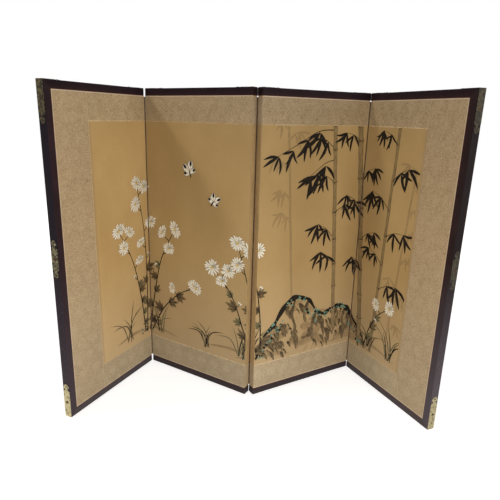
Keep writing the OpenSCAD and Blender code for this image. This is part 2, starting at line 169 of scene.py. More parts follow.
def camera_or_gloss(tree):
    """1 for a ray that the eye, a gloss or a glass sends out, and 0 for light on the object."""
    path = add(tree, "ShaderNodeLightPath")
    first = math_node(tree, "MAXIMUM", path.outputs["Is Camera Ray"], path.outputs["Is Glossy Ray"])
    return math_node(tree, "MAXIMUM", first, path.outputs["Is Transmission Ray"])


ROOM_LIGHT = 0.25
world = bpy.data.worlds.new("room")
scene.world = world
world.use_nodes = True
room = world.node_tree
room.nodes.clear()
lit = add(room, "ShaderNodeBackground", Color=(1, 0.985, 0.96, 1), Strength=ROOM_LIGHT)
seen = add(room, "ShaderNodeBackground", Color=(1, 1, 1, 1), Strength=1.0)
both = add(room, "ShaderNodeMixShader", i0=camera_or_gloss(room), i1=lit.outputs[0], i2=seen.outputs[0])
add(room, "ShaderNodeOutputWorld", Surface=both.outputs[0])
print("room light:", ROOM_LIGHT)

# %% Lamps
# Square soft boxes: a name, where it hangs, where it looks, its side, its watts and its colour
LAMPS = (
    ("soft_box_low", (0.05, -0.90, 0.09), (0.1, 0.2, 0.10), 0.6, 3.6, (1, 0.985, 0.97)),
    ("soft_box_low_right", (0.78, -1.05, 0.13), (0, 0.1, 0.12), 0.7, 8.2, (1, 0.985, 0.97)),
    ("soft_box_low_left", (-0.70, -1.10, 0.12), (0, 0.1, 0.12), 0.7, 3.0, (1, 0.985, 0.97)),
    ("soft_box_right", (3.4, -0.9, 1.2), (0, 0, 0.4), 2.0, 28, (1, 0.98, 0.95)),
    ("soft_box_above", (0, -0.55, 2.4), (0, -0.70, 0), 1.0, 4.5, (1, 0.98, 0.95)),
    ("window_left", (-2.5, -0.61, 2.77), (0, 0, 0.55), 0.3, 24, (1, 0.97, 0.92)),
    ("soft_box_back", (-0.4, 3.2, 1.8), (0, 0, 0.45), 1.8, 36, (1, 0.985, 0.97)),
)
for name, at, aim, side, watts, colour in LAMPS:
    light = bpy.data.lights.new(name, "AREA")
    light.size, light.energy, light.color = side, watts, colour
    lamp = bpy.data.objects.new(name, light)
    lamp.visible_camera = False
    scene.collection.objects.link(lamp)
    turned = (Vector(aim) - Vector(at)).to_track_quat("-Z", "Y").to_matrix().to_4x4()
    lamp.matrix_world = Matrix.Translation(at) @ turned
print("lamps:", len(LAMPS))

# %% Floor
FLOOR_RADIUS = 14
SHADOW_REACH, WHITE_REACH = 0.8, 2.4     # metres out from the middle of the screen
GLOW_NEAR, GLOW_FAR = 0.73, 0.86


def remap(tree, value, old, new, ease="LINEAR"):
    """A value carried from one range to another, and held at its ends."""
    return add(tree, "ShaderNodeMapRange", {"interpolation_type": ease}, Value=value,
               i1=old[0], i2=old[1], i3=new[0], i4=new[1]).outputs[0]


def length_of(tree, vector):
    return add(tree, "ShaderNodeVectorMath", {"operation": "LENGTH"}, i0=vector).outputs[1]


def into_object(name, shape, *materials):
    """Turns a drawn shape into an object of the scene."""
    data = bpy.data.meshes.new(name)
    shape.to_mesh(data)
    shape.free()
    made = bpy.data.objects.new(name, data)
    scene.collection.objects.link(made)
    for material in materials:
        data.materials.append(material)
    return made


white = bpy.data.materials.new("floor_white")
white.use_nodes = True
tree = white.node_tree
tree.nodes.clear()
matt = add(tree, "ShaderNodeBsdfDiffuse", Color=(0.78, 0.78, 0.78, 1))
pale = add(tree, "ShaderNodeBsdfDiffuse", Color=(0.62, 0.62, 0.62, 1))
out = length_of(tree, add(tree, "ShaderNodeTexCoord").outputs["Object"])
lift = remap(tree, out, (SHADOW_REACH, WHITE_REACH), (GLOW_NEAR, GLOW_FAR))
glow = add(tree, "ShaderNodeEmission", Color=(1, 1, 1, 1), Strength=lift)
shown = add(tree, "ShaderNodeAddShader", i0=pale.outputs[0], i1=glow.outputs[0])
both = add(tree, "ShaderNodeMixShader", i0=camera_or_gloss(tree), i1=matt.outputs[0], i2=shown.outputs[0])
add(tree, "ShaderNodeOutputMaterial", Surface=both.outputs[0])

floor_shape = bmesh.new()
bmesh.ops.create_circle(floor_shape, cap_ends=True, segments=96, radius=FLOOR_RADIUS)
floor = into_object("floor", floor_shape, white)
print("floor:", 2 * FLOOR_RADIUS, "m across")

# %% [markdown]
# ## Tools for the finishes
# Every finish reads the object's own coordinates, turned back into a panel's flat numbers by one
# Mapping node. So "across" always means along a panel and "up" means up it, whichever way the panel
# stands, and a pattern runs on from one solid to the next.

# %% A new finish and its coordinates


def finish(name):
    """A new material with its shader and output, ready for a pattern."""
    made = bpy.data.materials.new(name)
    made.use_nodes = True
    tree = made.node_tree
    tree.nodes.clear()
    shader = add(tree, "ShaderNodeBsdfPrincipled")
    add(tree, "ShaderNodeOutputMaterial", Surface=shader.outputs[0])
    return made, tree, shader


def panel_coords(tree, panel):
    """Object coordinates as a panel's flat numbers, in metres."""
    place = PLACES[panel]
    coords = add(tree, "ShaderNodeTexCoord")
    return add(tree, "ShaderNodeMapping", {"vector_type": "TEXTURE"}, Vector=coords.outputs["Object"],
               Location=place.to_translation(), Rotation=place.to_euler()).outputs[0]

# %% Sums on patterns


def times(tree, first, second, clamp=False):
    return math_node(tree, "MULTIPLY", first, second, clamp)


def plus(tree, first, second):
    return math_node(tree, "ADD", first, second)


def minus(tree, first, second, clamp=False):
    return math_node(tree, "SUBTRACT", first, second, clamp)


def above(tree, value, limit):
    """1 where a value is over a limit, and 0 elsewhere."""
    return math_node(tree, "GREATER_THAN", value, limit)


def below(tree, value, limit):
    return math_node(tree, "LESS_THAN", value, limit)


def larger(tree, first, second):
    return math_node(tree, "MAXIMUM", first, second)


def times_plus(tree, value, scale, shift, kind="ShaderNodeMath"):
    return add(tree, kind, {"operation": "MULTIPLY_ADD"}, i0=value, i1=scale, i2=shift).outputs[0]


def stretch(tree, vector, scale, shift=(0, 0, 0)):
    """The same coordinates, multiplied and shifted."""
    return times_plus(tree, vector, scale, shift, "ShaderNodeVectorMath")


def axis(tree, vector, which):
    return add(tree, "ShaderNodeSeparateXYZ", Vector=vector).outputs["XYZ".index(which)]


def near(tree, value, at, width):
    """1 where a value is at a place, falling to 0 at a width to either side."""
    off = math_node(tree, "ABSOLUTE", minus(tree, value, at))
    return minus(tree, 1.0, math_node(tree, "DIVIDE", off, width), clamp=True)

# %% Patterns and colours


def noise(tree, vector, scale, detail=3, roughness=0.5, distortion=0.0):
    return add(tree, "ShaderNodeTexNoise", Vector=vector, Scale=scale, Detail=detail, Roughness=roughness,
               Distortion=distortion).outputs[0]


def ramp(tree, value, *stops):
    """A colour ramp. Each stop is a place from 0 to 1 and a colour or a grey."""
    made = add(tree, "ShaderNodeValToRGB", Fac=value)
    band = made.color_ramp
    band.interpolation = "LINEAR"
    while len(band.elements) < len(stops):
        band.elements.new(0.5)
    for element, (at, colour) in zip(band.elements, stops):
        element.position = at
        element.color = colour if isinstance(colour, tuple) else (colour, colour, colour, 1)
    return made.outputs[0]


def rise(tree, value, start, end):
    """0 below one value and 1 above another, with an even slope between them."""
    return ramp(tree, value, (start, 0.0), (end, 1.0))


def two_tone(tree, pattern, dark, light):
    """One colour where a noise is low and another where it is high."""
    return ramp(tree, pattern, (0.3, rgb(*dark)), (0.7, rgb(*light)))


def wave(tree, vector, shape, run, scale, wobble, detail):
    """Even bands or rings, a little unsteady."""
    kind = {"wave_type": shape.upper(), f"{shape}_direction": run}
    return add(tree, "ShaderNodeTexWave", kind, Vector=vector, Scale=scale, Distortion=wobble,
               Detail=detail).outputs[1]


def blend(tree, amount, first, second, mode="MIX"):
    """Mixes two colours."""
    return add(tree, "ShaderNodeMix", {"data_type": "RGBA", "blend_type": mode},
               i0=amount, i6=first, i7=second).outputs[2]


def shade(tree, tone, by):
    """A tone multiplied by a grey or a colour."""
    return blend(tree, 1.0, tone, by, "MULTIPLY")


def lay(tree, tone, where, share, colour):
    """Lays a colour over a tone, at its share where a pattern is 1 and not at all where it is 0."""
    return blend(tree, times(tree, where, share), tone, rgb(*colour))

# %% Relief, and dressing a solid


def bump(tree, shader, height, distance, strength=1.0, under=None):
    """Raises the surface by a height from 0 to 1 times a distance in metres."""
    made = add(tree, "ShaderNodeBump", Height=height, Distance=distance, Strength=strength)
    if under is not None:
        plug(tree, made, Normal=under)
    plug(tree, shader, Normal=made.outputs[0])
    return made.outputs[0]


def dress(node, material):
    """Gives a solid one material in every slot."""
    data = frame["nodes"][node].data
    if not data.materials:
        data.materials.append(material)
    for slot in range(len(data.materials)):
        data.materials[slot] = material

# %% [markdown]
# ## Woven brocade
# The border is a tone-on-tone silk: a fine weave with a cloudy scroll ground and here and there a
# round flower, all in nearly one colour. The weave is two crossed waves, the scrolls are the level
# lines of a soft noise, and the flowers are rings cut by a wave that runs round their middle. The
# figure weakens towards the foot, and the cloth turns paler and greyer there. Each border is also
# painted paler at its foot and darker at its head, a painted shade that differs from panel to panel.
# On an end panel the level strips end in a butt joint against an upright strip, whose threads run
# the other way.

# %% Flowers
FLOWER_PITCH, FLOWER_RADIUS, PETALS, PETAL_SWELL = 0.047, 0.0135, 8.0, 0.12
FLOWER_RINGS = 15.0


def flowers(tree, flat):
    """Round petalled figures on a staggered grid: 1 inside a figure's lines and 0 outside."""
    wide = stretch(tree, flat, (1 / FLOWER_PITCH, 1, 1 / FLOWER_PITCH))
    row = math_node(tree, "FLOOR", axis(tree, wide, "Z"))
    odd = times(tree, math_node(tree, "MODULO", math_node(tree, "ABSOLUTE", row), 2.0), 0.5)
    cell_x = minus(tree, math_node(tree, "FRACT", plus(tree, axis(tree, wide, "X"), odd)), 0.5)
    cell_z = minus(tree, math_node(tree, "FRACT", axis(tree, wide, "Z")), 0.5)
    cell = add(tree, "ShaderNodeCombineXYZ", X=cell_x, Y=0.0, Z=cell_z).outputs[0]
    lobes = math_node(tree, "COSINE", times(tree, math_node(tree, "ARCTAN2", cell_z, cell_x), PETALS))
    reach = FLOWER_RADIUS / FLOWER_PITCH
    swell = times_plus(tree, lobes, PETAL_SWELL * reach, reach)
    inside = math_node(tree, "DIVIDE", length_of(tree, cell), swell)
    rings = math_node(tree, "SINE", times(tree, inside, FLOWER_RINGS))
    return times(tree, above(tree, rings, -0.1), below(tree, inside, 1.0))


print("brocade flowers:", 2000 * FLOWER_RADIUS, "mm across,", 1000 * FLOWER_PITCH, "mm apart")

# %% Painted corner light and butted cloth
FOLD_CORNER_LIGHT = {1: 1.12, 2: 1.0, 3: 1.17, 4: 1.0}     # painted light: how much paler the upper corner at the right fold is painted
BORDER_JOINT = 0.139                           # how far in from an end panel's outer side the strips butt
LEVEL_STRIP, UPRIGHT_STRIP = (0.98, 0.99, 0.985, 1), (0.94, 0.93, 0.93, 1)


def bleach(tree, flat, panel, tone):
    """A painted light: the upper corner beside the fold is painted paler on some panels."""
    sideways = remap(tree, axis(tree, flat, "X"), (0.16, PANEL_WIDTH), (0.0, 1.0), "SMOOTHSTEP")
    upward = remap(tree, axis(tree, flat, "Z"), (0.42, 0.86), (0.0, 1.0), "SMOOTHSTEP")
    return shade(tree, tone, times_plus(tree, times(tree, sideways, upward), FOLD_CORNER_LIGHT[panel] - 1.0, 1.0))


def butted(tree, flat, panel, tone):
    """The upright strip of an end panel and its joint with the level ones."""
    across = axis(tree, flat, "X")
    if panel == 1:
        joint, run = BORDER_JOINT, (30, 0, 520)
        upright = below(tree, across, joint)
    else:
        joint, run = PANEL_WIDTH - BORDER_JOINT, (620, 0, 26)
        upright = above(tree, across, joint)
    streak = noise(tree, stretch(tree, flat, run), 1, 3, 0.6)
    streak = times(tree, rise(tree, streak, 0.45, 0.72), 0.35)
    tone = lay(tree, tone, streak, upright, (206, 180, 140))
    tone = blend(tree, upright, shade(tree, tone, LEVEL_STRIP), shade(tree, tone, UPRIGHT_STRIP))
    pale_side = near(tree, plus(tree, across, 0.0008), joint, 0.0014)
    dark_side = near(tree, minus(tree, across, 0.0012), joint, 0.0012)
    tone = lay(tree, tone, pale_side, 0.6, (208, 184, 144))
    return lay(tree, tone, dark_side, 0.5, (112, 88, 58))


print("level strips on the outer panels are", round(1000 * (PANEL_WIDTH - BORDER_JOINT)), "mm long")

# %% The border's cloth
# Painted light and shade: how pale each panel's border is painted at its foot and at its head
BROCADE_FOOT_LIGHT = {1: 1.035, 2: 0.92, 3: 1.035, 4: 1.0}
BROCADE_HEAD_SHADE = {1: 0.99, 2: 0.82, 3: 0.775, 4: 0.88}
BROCADE_SPAN = (0.10, 0.86)
SEAM_WIDTH = 0.0046     # a pale edge where the cloth meets the frame


def brocade(panel):
    """The level strips run across the folds, and on an end panel they butt against an upright strip."""
    made, tree, shader = finish(f"brocade_{panel}")
    flat = panel_coords(tree, panel)
    height = axis(tree, flat, "Z")
    cloud = noise(tree, stretch(tree, flat, (1, 0, 1), (panel * 3.1, 0, 0)), 120, 2, 0.55, 1.6)
    curl = noise(tree, stretch(tree, flat, (1, 0, 1), (panel * 5.3, 0, 0.7)), 190, 2, 0.55, 2.2)
    scroll = larger(tree, near(tree, cloud, 0.5, 0.055), near(tree, curl, 0.48, 0.055))
    mottle = noise(tree, stretch(tree, flat, (1, 0, 1), (panel * 1.7, 0, 0.4)), 210, 2, 0.6)
    age = noise(tree, stretch(tree, flat, (1, 0, 0.6), (panel * 0.9, 0, 0)), 7, 4, 0.6)
    figure = flowers(tree, stretch(tree, flat, (1, 1, 1), (0.011 * panel, 0, 0.006)))
    warp = wave(tree, flat, "bands", "X", 320.0, 0.6, 1.0)
    weft = wave(tree, flat, "bands", "Z", 260.0, 0.8, 1.0)
    weave = times(tree, warp, weft)
    # The cloth turns paler and greyer towards the foot, and its figure weaker
    toward_foot = remap(tree, height, (0.50, 0.05), (0.0, 0.85))
    crisp = minus(tree, 1.0, times(tree, toward_foot, 0.45))
    tone = ramp(tree, age, (0.3, rgb(148, 121, 84)), (0.5, rgb(158, 131, 93)), (0.7, rgb(167, 140, 102)))
    tone = lay(tree, tone, rise(tree, mottle, 0.40, 0.62), times(tree, crisp, 0.55), (124, 98, 64))
    tone = lay(tree, tone, scroll, times(tree, crisp, 0.8), (207, 183, 143))
    tone = lay(tree, tone, figure, 0.28, (194, 169, 128))
    tone = lay(tree, tone, weave, 0.10, (205, 180, 140))
    tone = blend(tree, toward_foot, tone, shade(tree, tone, (1.01, 1.14, 1.34, 1)))
    # Painted shade: each panel is darkened towards its head and lit towards its foot by its own shares
    tone = shade(tree, tone, remap(tree, height, BROCADE_SPAN, (BROCADE_FOOT_LIGHT[panel], BROCADE_HEAD_SHADE[panel])))
    tone = bleach(tree, flat, panel, tone)
    seams = [("Z", FRAME_HEIGHT - FRAME_FACE), ("Z", FRAME_FACE)]
    if panel in (1, 4):
        tone = butted(tree, flat, panel, tone)
        seams.append(("X", OUTER_LEFT + FRAME_FACE if panel == 1 else OUTER_RIGHT - FRAME_FACE))
    for which, at in seams:
        seam = above(tree, near(tree, axis(tree, flat, which), at, SEAM_WIDTH), 0.5)
        tone = lay(tree, tone, seam, 0.85, (214, 190, 164))
    satin = larger(tree, scroll, figure)
    plug(tree, shader, Base_Color=tone, Roughness=minus(tree, 0.78, times(tree, satin, 0.2)),
         Sheen_Weight=0.10, Sheen_Roughness=0.4)
    threads = bump(tree, shader, weave, 0.00012, 0.6)
    bump(tree, shader, satin, 0.00015, 0.5, threads)
    return made


for panel in TURNS:
    dress(f"panel_{panel}_brocade_border", brocade(panel))
print("brocade borders:", len(TURNS), "with a flower every", FLOWER_PITCH, "m")

# %% [markdown]
# ## Picture silk
# The painting's ground is a plain gold-toned silk, pasted over paper. It has long thin slubs both
# ways, a faint cloudiness from the paste, a few foxed specks, and a paler, greyer foot. Each panel's
# silk is painted lighter or darker as a whole, a painted light and shade, and like the border it is
# painted paler in the upper corner beside a fold on some panels, a painted light.

# %% Silk
SILK_PANEL_LIGHT = {1: 1.08, 2: 0.965, 3: 0.98, 4: 0.985}     # painted light and shade: each panel's silk is painted lighter or darker as a whole, the left end panel lightest


def silk_tone(tree, flat, panel):
    """The silk's colour with its painted light and shade, and its threads, used by the silk and by every paint
    that shows it.
    """
    def lifted(*colour):
        return rgb(*[v * SILK_PANEL_LIGHT[panel] for v in colour])
    slub = noise(tree, stretch(tree, flat, (40, 0, 900)), 1, 3, 0.6)
    warp = noise(tree, stretch(tree, flat, (1100, 0, 26), (3, 0, 0)), 1, 2, 0.6)
    cloud = noise(tree, stretch(tree, flat, (1, 0, 0.7), (panel * 2.3, 0, 1.1)), 5.5, 4, 0.55)
    tone = ramp(tree, cloud, (0.3, lifted(164, 133, 82)), (0.52, lifted(173, 142, 91)),
                (0.74, lifted(181, 151, 100)))
    tone = lay(tree, tone, rise(tree, slub, 0.45, 0.75), 0.22, (150, 118, 73))
    tone = lay(tree, tone, rise(tree, warp, 0.5, 0.8), 0.16, (196, 168, 122))
    spots = add(tree, "ShaderNodeTexVoronoi", {"feature": "F1"}, Scale=26.0, Randomness=1.0,
                Vector=stretch(tree, flat, (1, 0, 1), (panel, 0, 0)))
    chosen = above(tree, axis(tree, spots.outputs["Color"], "X"), 0.93)
    speck = times(tree, ramp(tree, spots.outputs["Distance"], (0.015, 1.0), (0.045, 0.0)), chosen)
    tone = lay(tree, tone, speck, 0.5, (120, 82, 45))
    # Paler and greyer towards the foot
    toward_foot = remap(tree, axis(tree, flat, "Z"), (0.40, 0.12), (0.0, 0.48))
    tone = blend(tree, toward_foot, tone, lifted(184, 162, 128))
    return bleach(tree, flat, panel, tone), plus(tree, slub, warp)


def silk_surface(tree, shader, tone, threads, shine=0.30, sheen=0.08):
    """The same soft sheen for the bare silk and for the paint on it."""
    plug(tree, shader, Base_Color=tone, Roughness=0.7, Specular_IOR_Level=shine, Sheen_Weight=sheen,
         Sheen_Roughness=0.35)
    bump(tree, shader, threads, 0.00010, 0.35)


for panel in TURNS:
    made, tree, shader = finish(f"picture_silk_{panel}")
    silk_surface(tree, shader, *silk_tone(tree, panel_coords(tree, panel), panel))
    dress(f"panel_{panel}_picture_silk", made)
print("silk grounds:", len(TURNS))

# %% [markdown]
# ## Gilt fillet, papers and timber
# A narrow strip of pale gilt paper hides the seam between picture and brocade. The linings, the back
# and the hinges are layered paper: fibres, a little cockling, and no gloss. The core is split cedar,
# seen only at the folding edges, with its grain along the bars.

# %% Layered paper


def paper(name, panel, dark, light, fibre=0.25):
    """Layered paper in two close tones, with pale fibres."""
    made, tree, shader = finish(f"{name}_{panel}")
    flat = panel_coords(tree, panel)
    cloud = noise(tree, stretch(tree, flat, (1, 1, 1), (panel, 0, 0)), 9, 5, 0.6)
    fibres = noise(tree, stretch(tree, flat, (300, 300, 60)), 1, 3, 0.65, 1.5)
    tone = two_tone(tree, cloud, dark, light)
    tone = lay(tree, tone, rise(tree, fibres, 0.5, 0.72), fibre, [min(255, v + 26) for v in light])
    plug(tree, shader, Base_Color=tone, Roughness=0.86)
    bump(tree, shader, fibres, 0.00012, 0.4)
    return made

# %% Gilt fillet
FILLET_LOW, FILLET_HIGH, FILLET_REACH = 0.0985, 0.8065, 0.004
# How pale the foot strip and the head strip of each panel's fillet are
PALE_ENDS = {1: (0.3, 1.0), 2: (0.9, 0.35), 3: (0.9, 0.4), 4: (0.5, 0.9)}


def fillet(panel):
    """Worn gilt paper: the upright strips have darkened to the silk's own tone, the level ones are pale."""
    made, tree, shader = finish(f"gilt_fillet_{panel}")
    flat = panel_coords(tree, panel)
    height = axis(tree, flat, "Z")
    ground, _ = silk_tone(tree, flat, panel)
    fibres = noise(tree, stretch(tree, flat, (300, 300, 300)), 1, 3, 0.65)
    worn = noise(tree, stretch(tree, flat, (1, 1, 1), (panel, 0, 0)), 60, 4, 0.7)
    upright = blend(tree, 0.4, ground, rgb(150, 124, 86))
    pale = remap(tree, height, (0.4, 0.5), PALE_ENDS[panel])
    level = two_tone(tree, fibres, (192, 168, 130), (216, 194, 158))
    level = blend(tree, times(tree, rise(tree, worn, 0.38, 0.56), pale), ground, level)
    ends = larger(tree, *(near(tree, height, end, FILLET_REACH) for end in (FILLET_LOW, FILLET_HIGH)))
    plug(tree, shader, Base_Color=blend(tree, above(tree, ends, 0.55), upright, level), Roughness=0.8)
    bump(tree, shader, fibres, 0.0001, 0.4)
    return made


print("the fillets' level strips are", round(1000 * (FILLET_HIGH - FILLET_LOW)), "mm apart")

# %% Timber, and dressing the panels


def cedar(panel):
    """Growth rings, drawn out along the bars."""
    made, tree, shader = finish(f"cedar_{panel}")
    grain = stretch(tree, panel_coords(tree, panel), (1, 1, 0.05), (0.3, 0.1, 0))
    rings = wave(tree, grain, "rings", "Z", 90.0, 4.0, 2.0)
    tone = ramp(tree, rings, (0.0, rgb(206, 172, 124)), (0.8, rgb(190, 150, 100)), (1.0, rgb(160, 118, 74)))
    plug(tree, shader, Base_Color=tone, Roughness=0.7)
    bump(tree, shader, rings, 0.0001, 0.3)
    return made


for panel in TURNS:
    dress(f"panel_{panel}_picture_fillet", fillet(panel))
    dress(f"panel_{panel}_front_lining", paper("lining_paper", panel, (206, 190, 152), (222, 208, 172)))
    dress(f"panel_{panel}_back_cover", paper("back_paper", panel, (92, 80, 62), (108, 95, 74), 0.3))
    wood = cedar(panel)
    dress(f"panel_{panel}_core_frame", wood)
    dress(f"panel_{panel}_core_lattice", wood)
print("papered and timbered panels:", len(TURNS))

# %% [markdown]
# ## Paper hinges
# Each strap is covered with silk where it wraps a panel's edge, toned like the border or like the
# picture beside it, and is bare paper at the rounded crease, painted a very dark brown that is the
# paper's own brown with a painted shade of the crease in it.
# The crease line is a joint's axis, so the distance from that axis decides between the two.

# %% Hinge straps


def strap(fold, panel):
    """One panel's half of a fold's straps."""
    made, tree, shader = finish(f"hinge_paper_{fold}_{panel}")
    flat = panel_coords(tree, panel)
    height = axis(tree, flat, "Z")
    hinge = crease_in_panel(fold, panel)
    from_crease = length_of(tree, stretch(tree, flat, (1, 1, 0), (-hinge.x, -hinge.y, 0)))
    at_crease = ramp(tree, times(tree, from_crease, 250.0), (0.34, 1.0), (0.46, 0.0))
    fibres = noise(tree, stretch(tree, flat, (240, 240, 50)), 1, 3, 0.65, 1.2)
    worn = noise(tree, stretch(tree, flat, (30, 30, 12), (0, 0, fold)), 1, 4, 0.6)
    beside_picture = times(tree, above(tree, height, FILLET_LOW), below(tree, height, FILLET_HIGH))
    border = two_tone(tree, fibres, (154, 134, 104), (178, 156, 124))
    silk = two_tone(tree, fibres, (156, 127, 82), (178, 148, 101))
    cloth = blend(tree, beside_picture, border, silk)
    cloth = lay(tree, cloth, rise(tree, worn, 0.45, 0.7), 0.35, (124, 103, 68))
    # The bare paper at the crease is painted very dark: its own brown and a painted shade of the crease
    bare = ramp(tree, worn, (0.35, rgb(44, 24, 10)), (0.65, rgb(74, 44, 20)))
    plug(tree, shader, Base_Color=blend(tree, at_crease, cloth, bare), Roughness=0.85)
    bump(tree, shader, fibres, 0.00012, 0.4)
    return made


for fold in crease:
    dress(f"fold_{fold}_straps_left", strap(fold, fold))
    dress(f"fold_{fold}_straps_right", strap(fold, fold + 1))
print("folds with straps:", len(crease))

# %% [markdown]
# ## Lacquered rails and stiles
# Dark plum lacquer over wood, brushed on and never quite flat: a soft broad ripple, a fine grain of
# dust, and a satin skin. It is rubbed reddish brown along the lip beside the silk, and has a warm strip
# behind that lip. It is painted paler and greyer towards the floor, a painted reflection of the white
# floor that is stronger on some parts than on others, and the stiles' outer faces are painted darker,
# a painted shade. Its outer edge is chipped pale in a few places, which on the two stiles happens
# only low down.

# %% Lacquer
PLUM = (36, 23, 27)
LIP_WIDTH, WARM_WIDTH, CHIP_WIDTH = 0.0026, 0.012, 0.0016
SIDE_SKIN = 0.0010     # how deep the stiles' outer faces take their painted shade


def lacquer(name, panel, run, lip_at, chip_at, body=PLUM, foot=(62, 53, 57), outside=None):
    """On the axis called run, the lip beside the silk lies at lip_at and the outer edge at chip_at."""
    made, tree, shader = finish(name)
    flat = panel_coords(tree, panel)
    place, height = axis(tree, flat, run), axis(tree, flat, "Z")
    ripple = noise(tree, flat, 45, 2, 0.5)
    dust = noise(tree, flat, 900, 2, 0.7)
    rub = noise(tree, flat, 70, 4, 0.7)
    cloud = noise(tree, stretch(tree, flat, (1, 1, 1), (0, panel, 0)), 11, 4, 0.6)
    tone = ramp(tree, cloud, *[(at, rgb(*[v * share for v in body]))
                               for at, share in ((0.3, 0.8), (0.55, 1.0), (0.8, 1.25))])
    tone = lay(tree, tone, near(tree, place, lip_at, WARM_WIDTH), 0.6, (53, 35, 33))
    # Painted shade: the stiles' outer faces are painted darker than their fronts
    if outside:
        side = times(tree, near(tree, place, chip_at, SIDE_SKIN), 3.0, clamp=True)
        tone = blend(tree, side, tone, rgb(*outside))
    # Painted reflection: paler and greyer towards the floor, as the white floor would show in the lacquer
    tone = blend(tree, remap(tree, height, (0.48, 0.0), (0.0, 0.8)), tone, rgb(*foot))
    lip = times(tree, near(tree, place, lip_at, LIP_WIDTH), rise(tree, rub, 0.30, 0.55))
    tone = lay(tree, tone, lip, 0.8, (92, 58, 40))
    chips = above(tree, noise(tree, flat, 160, 3, 0.7), 0.64)
    flakes = above(tree, noise(tree, flat, 260, 2, 0.6), 0.83)
    chips = larger(tree, times(tree, near(tree, place, chip_at, CHIP_WIDTH), chips), times(tree, flakes, 0.3))
    if outside:
        chips = times(tree, chips, remap(tree, height, (0.45, 0.15), (0.0, 0.5)))
    tone = blend(tree, chips, tone, rgb(146, 118, 108))
    tone = lay(tree, tone, rise(tree, dust, 0.55, 0.8), 0.12, (88, 74, 78))
    rough = plus(tree, times_plus(tree, cloud, 0.25, 0.34), times(tree, chips, 0.3))
    plug(tree, shader, Base_Color=tone, Roughness=rough, Specular_IOR_Level=0.05)
    soft = bump(tree, shader, ripple, 0.0006, 0.25)
    bump(tree, shader, dust, 0.00008, 0.4, soft)
    return made


for panel in TURNS:
    # The bottom rails' painted floor reflection, paler on the two end panels
    floor_glow_foot = (82, 74, 76) if panel in (1, 4) else (64, 56, 57)
    dress(f"panel_{panel}_top_rail",
          lacquer(f"lacquer_top_{panel}", panel, "Z", FRAME_HEIGHT - FRAME_FACE, FRAME_HEIGHT - 0.001))
    dress(f"panel_{panel}_bottom_rail",
          lacquer(f"lacquer_bottom_{panel}", panel, "Z", FRAME_FACE, 0.001, foot=floor_glow_foot))
# The stiles differ in body colour, painted floor reflection and painted outer-face shade
dress("left_stile", lacquer("lacquer_left", 1, "X", OUTER_LEFT + FRAME_FACE, OUTER_LEFT,
                            (47, 33, 37), (72, 63, 69), (30, 24, 30)))
dress("right_stile", lacquer("lacquer_right", 4, "X", OUTER_RIGHT - FRAME_FACE, OUTER_RIGHT,
                             (44, 32, 32), (88, 81, 86), (24, 15, 15)))
print("lacquered pieces:", 2 * len(TURNS) + 2)

# %% [markdown]
# ## Brass
# Thin sheet brass, gone brown with tarnish and left brighter at the foot. The tarnish is a dull
# brown skin that breaks up over the bright metal, so every plate shares one recipe and differs in
# how much of the skin is left. The plates at the outer edges are also darkened, each by its own
# share, a painted shade that is deepest on the right. Rust from the middle nail has stained the
# plates at the outer edges.

# %% Brass
SIDE_PLATE_NAIL = 0.463     # the middle of the plates halfway up
FOOT_NAIL = 0.0455          # how high the middle nail of a corner plate sits
# The plates at the outer edges: node, tarnish left, bright metal, dull skin, height of the rusty nail
PLATES = {"top": ("top_{}_corner_plate", 0.58, (136, 122, 88), (58, 50, 36), FRAME_HEIGHT - FOOT_NAIL),
          "middle": ("{}_side_plate", 0.55, (160, 148, 116), (58, 50, 36), SIDE_PLATE_NAIL),
          "foot": ("bottom_{}_corner_plate", 0.31, (220, 206, 160), (92, 80, 54), FOOT_NAIL)}
# Painted shade: each outer edge's panel, and the share of its colours that each of its plates keeps
PLATE_SHADE = {"left": (1, {"top": 0.76, "middle": 0.87, "foot": 0.94}),
              "right": (4, {"top": 0.53, "middle": 0.47, "foot": 0.79})}


def toned(colour, share):
    return [v * share for v in colour]


def brass(name, skin, bright, dull, stain=None):
    """skin runs from 0, all bright metal, to 1, all tarnish. stain is a panel and a rusty nail's height."""
    made, tree, shader = finish(name)
    coords = add(tree, "ShaderNodeTexCoord").outputs["Object"]
    patch = noise(tree, coords, 150, 4, 0.7, 0.6)
    fine = noise(tree, coords, 700, 3, 0.6)
    left = plus(tree, patch, times(tree, fine, 0.25))
    middle = 0.46 + 0.30 * skin
    bare = rise(tree, left, middle - 0.045, middle + 0.045)
    metal = two_tone(tree, fine, [v - 26 for v in bright], bright)
    crust = two_tone(tree, fine, toned(dull, 0.7), dull)
    tone = blend(tree, bare, crust, metal)
    if stain:
        panel, height = stain
        nail = stretch(tree, panel_coords(tree, panel), (0, 1, 1), (0, -PANEL_DEPTH / 2, -height))
        ring = plus(tree, times(tree, length_of(tree, nail), 100.0), times(tree, patch, 0.5))
        tone = blend(tree, ramp(tree, ring, (0.55, 0.9), (0.85, 0.0)), tone, rgb(72, 50, 32))
    rough = minus(tree, 0.66, times(tree, bare, 0.22))
    plug(tree, shader, Base_Color=tone, Metallic=times(tree, bare, 0.7), Roughness=rough,
         Specular_IOR_Level=0.2)
    bump(tree, shader, left, 0.00025, 0.4)
    return made


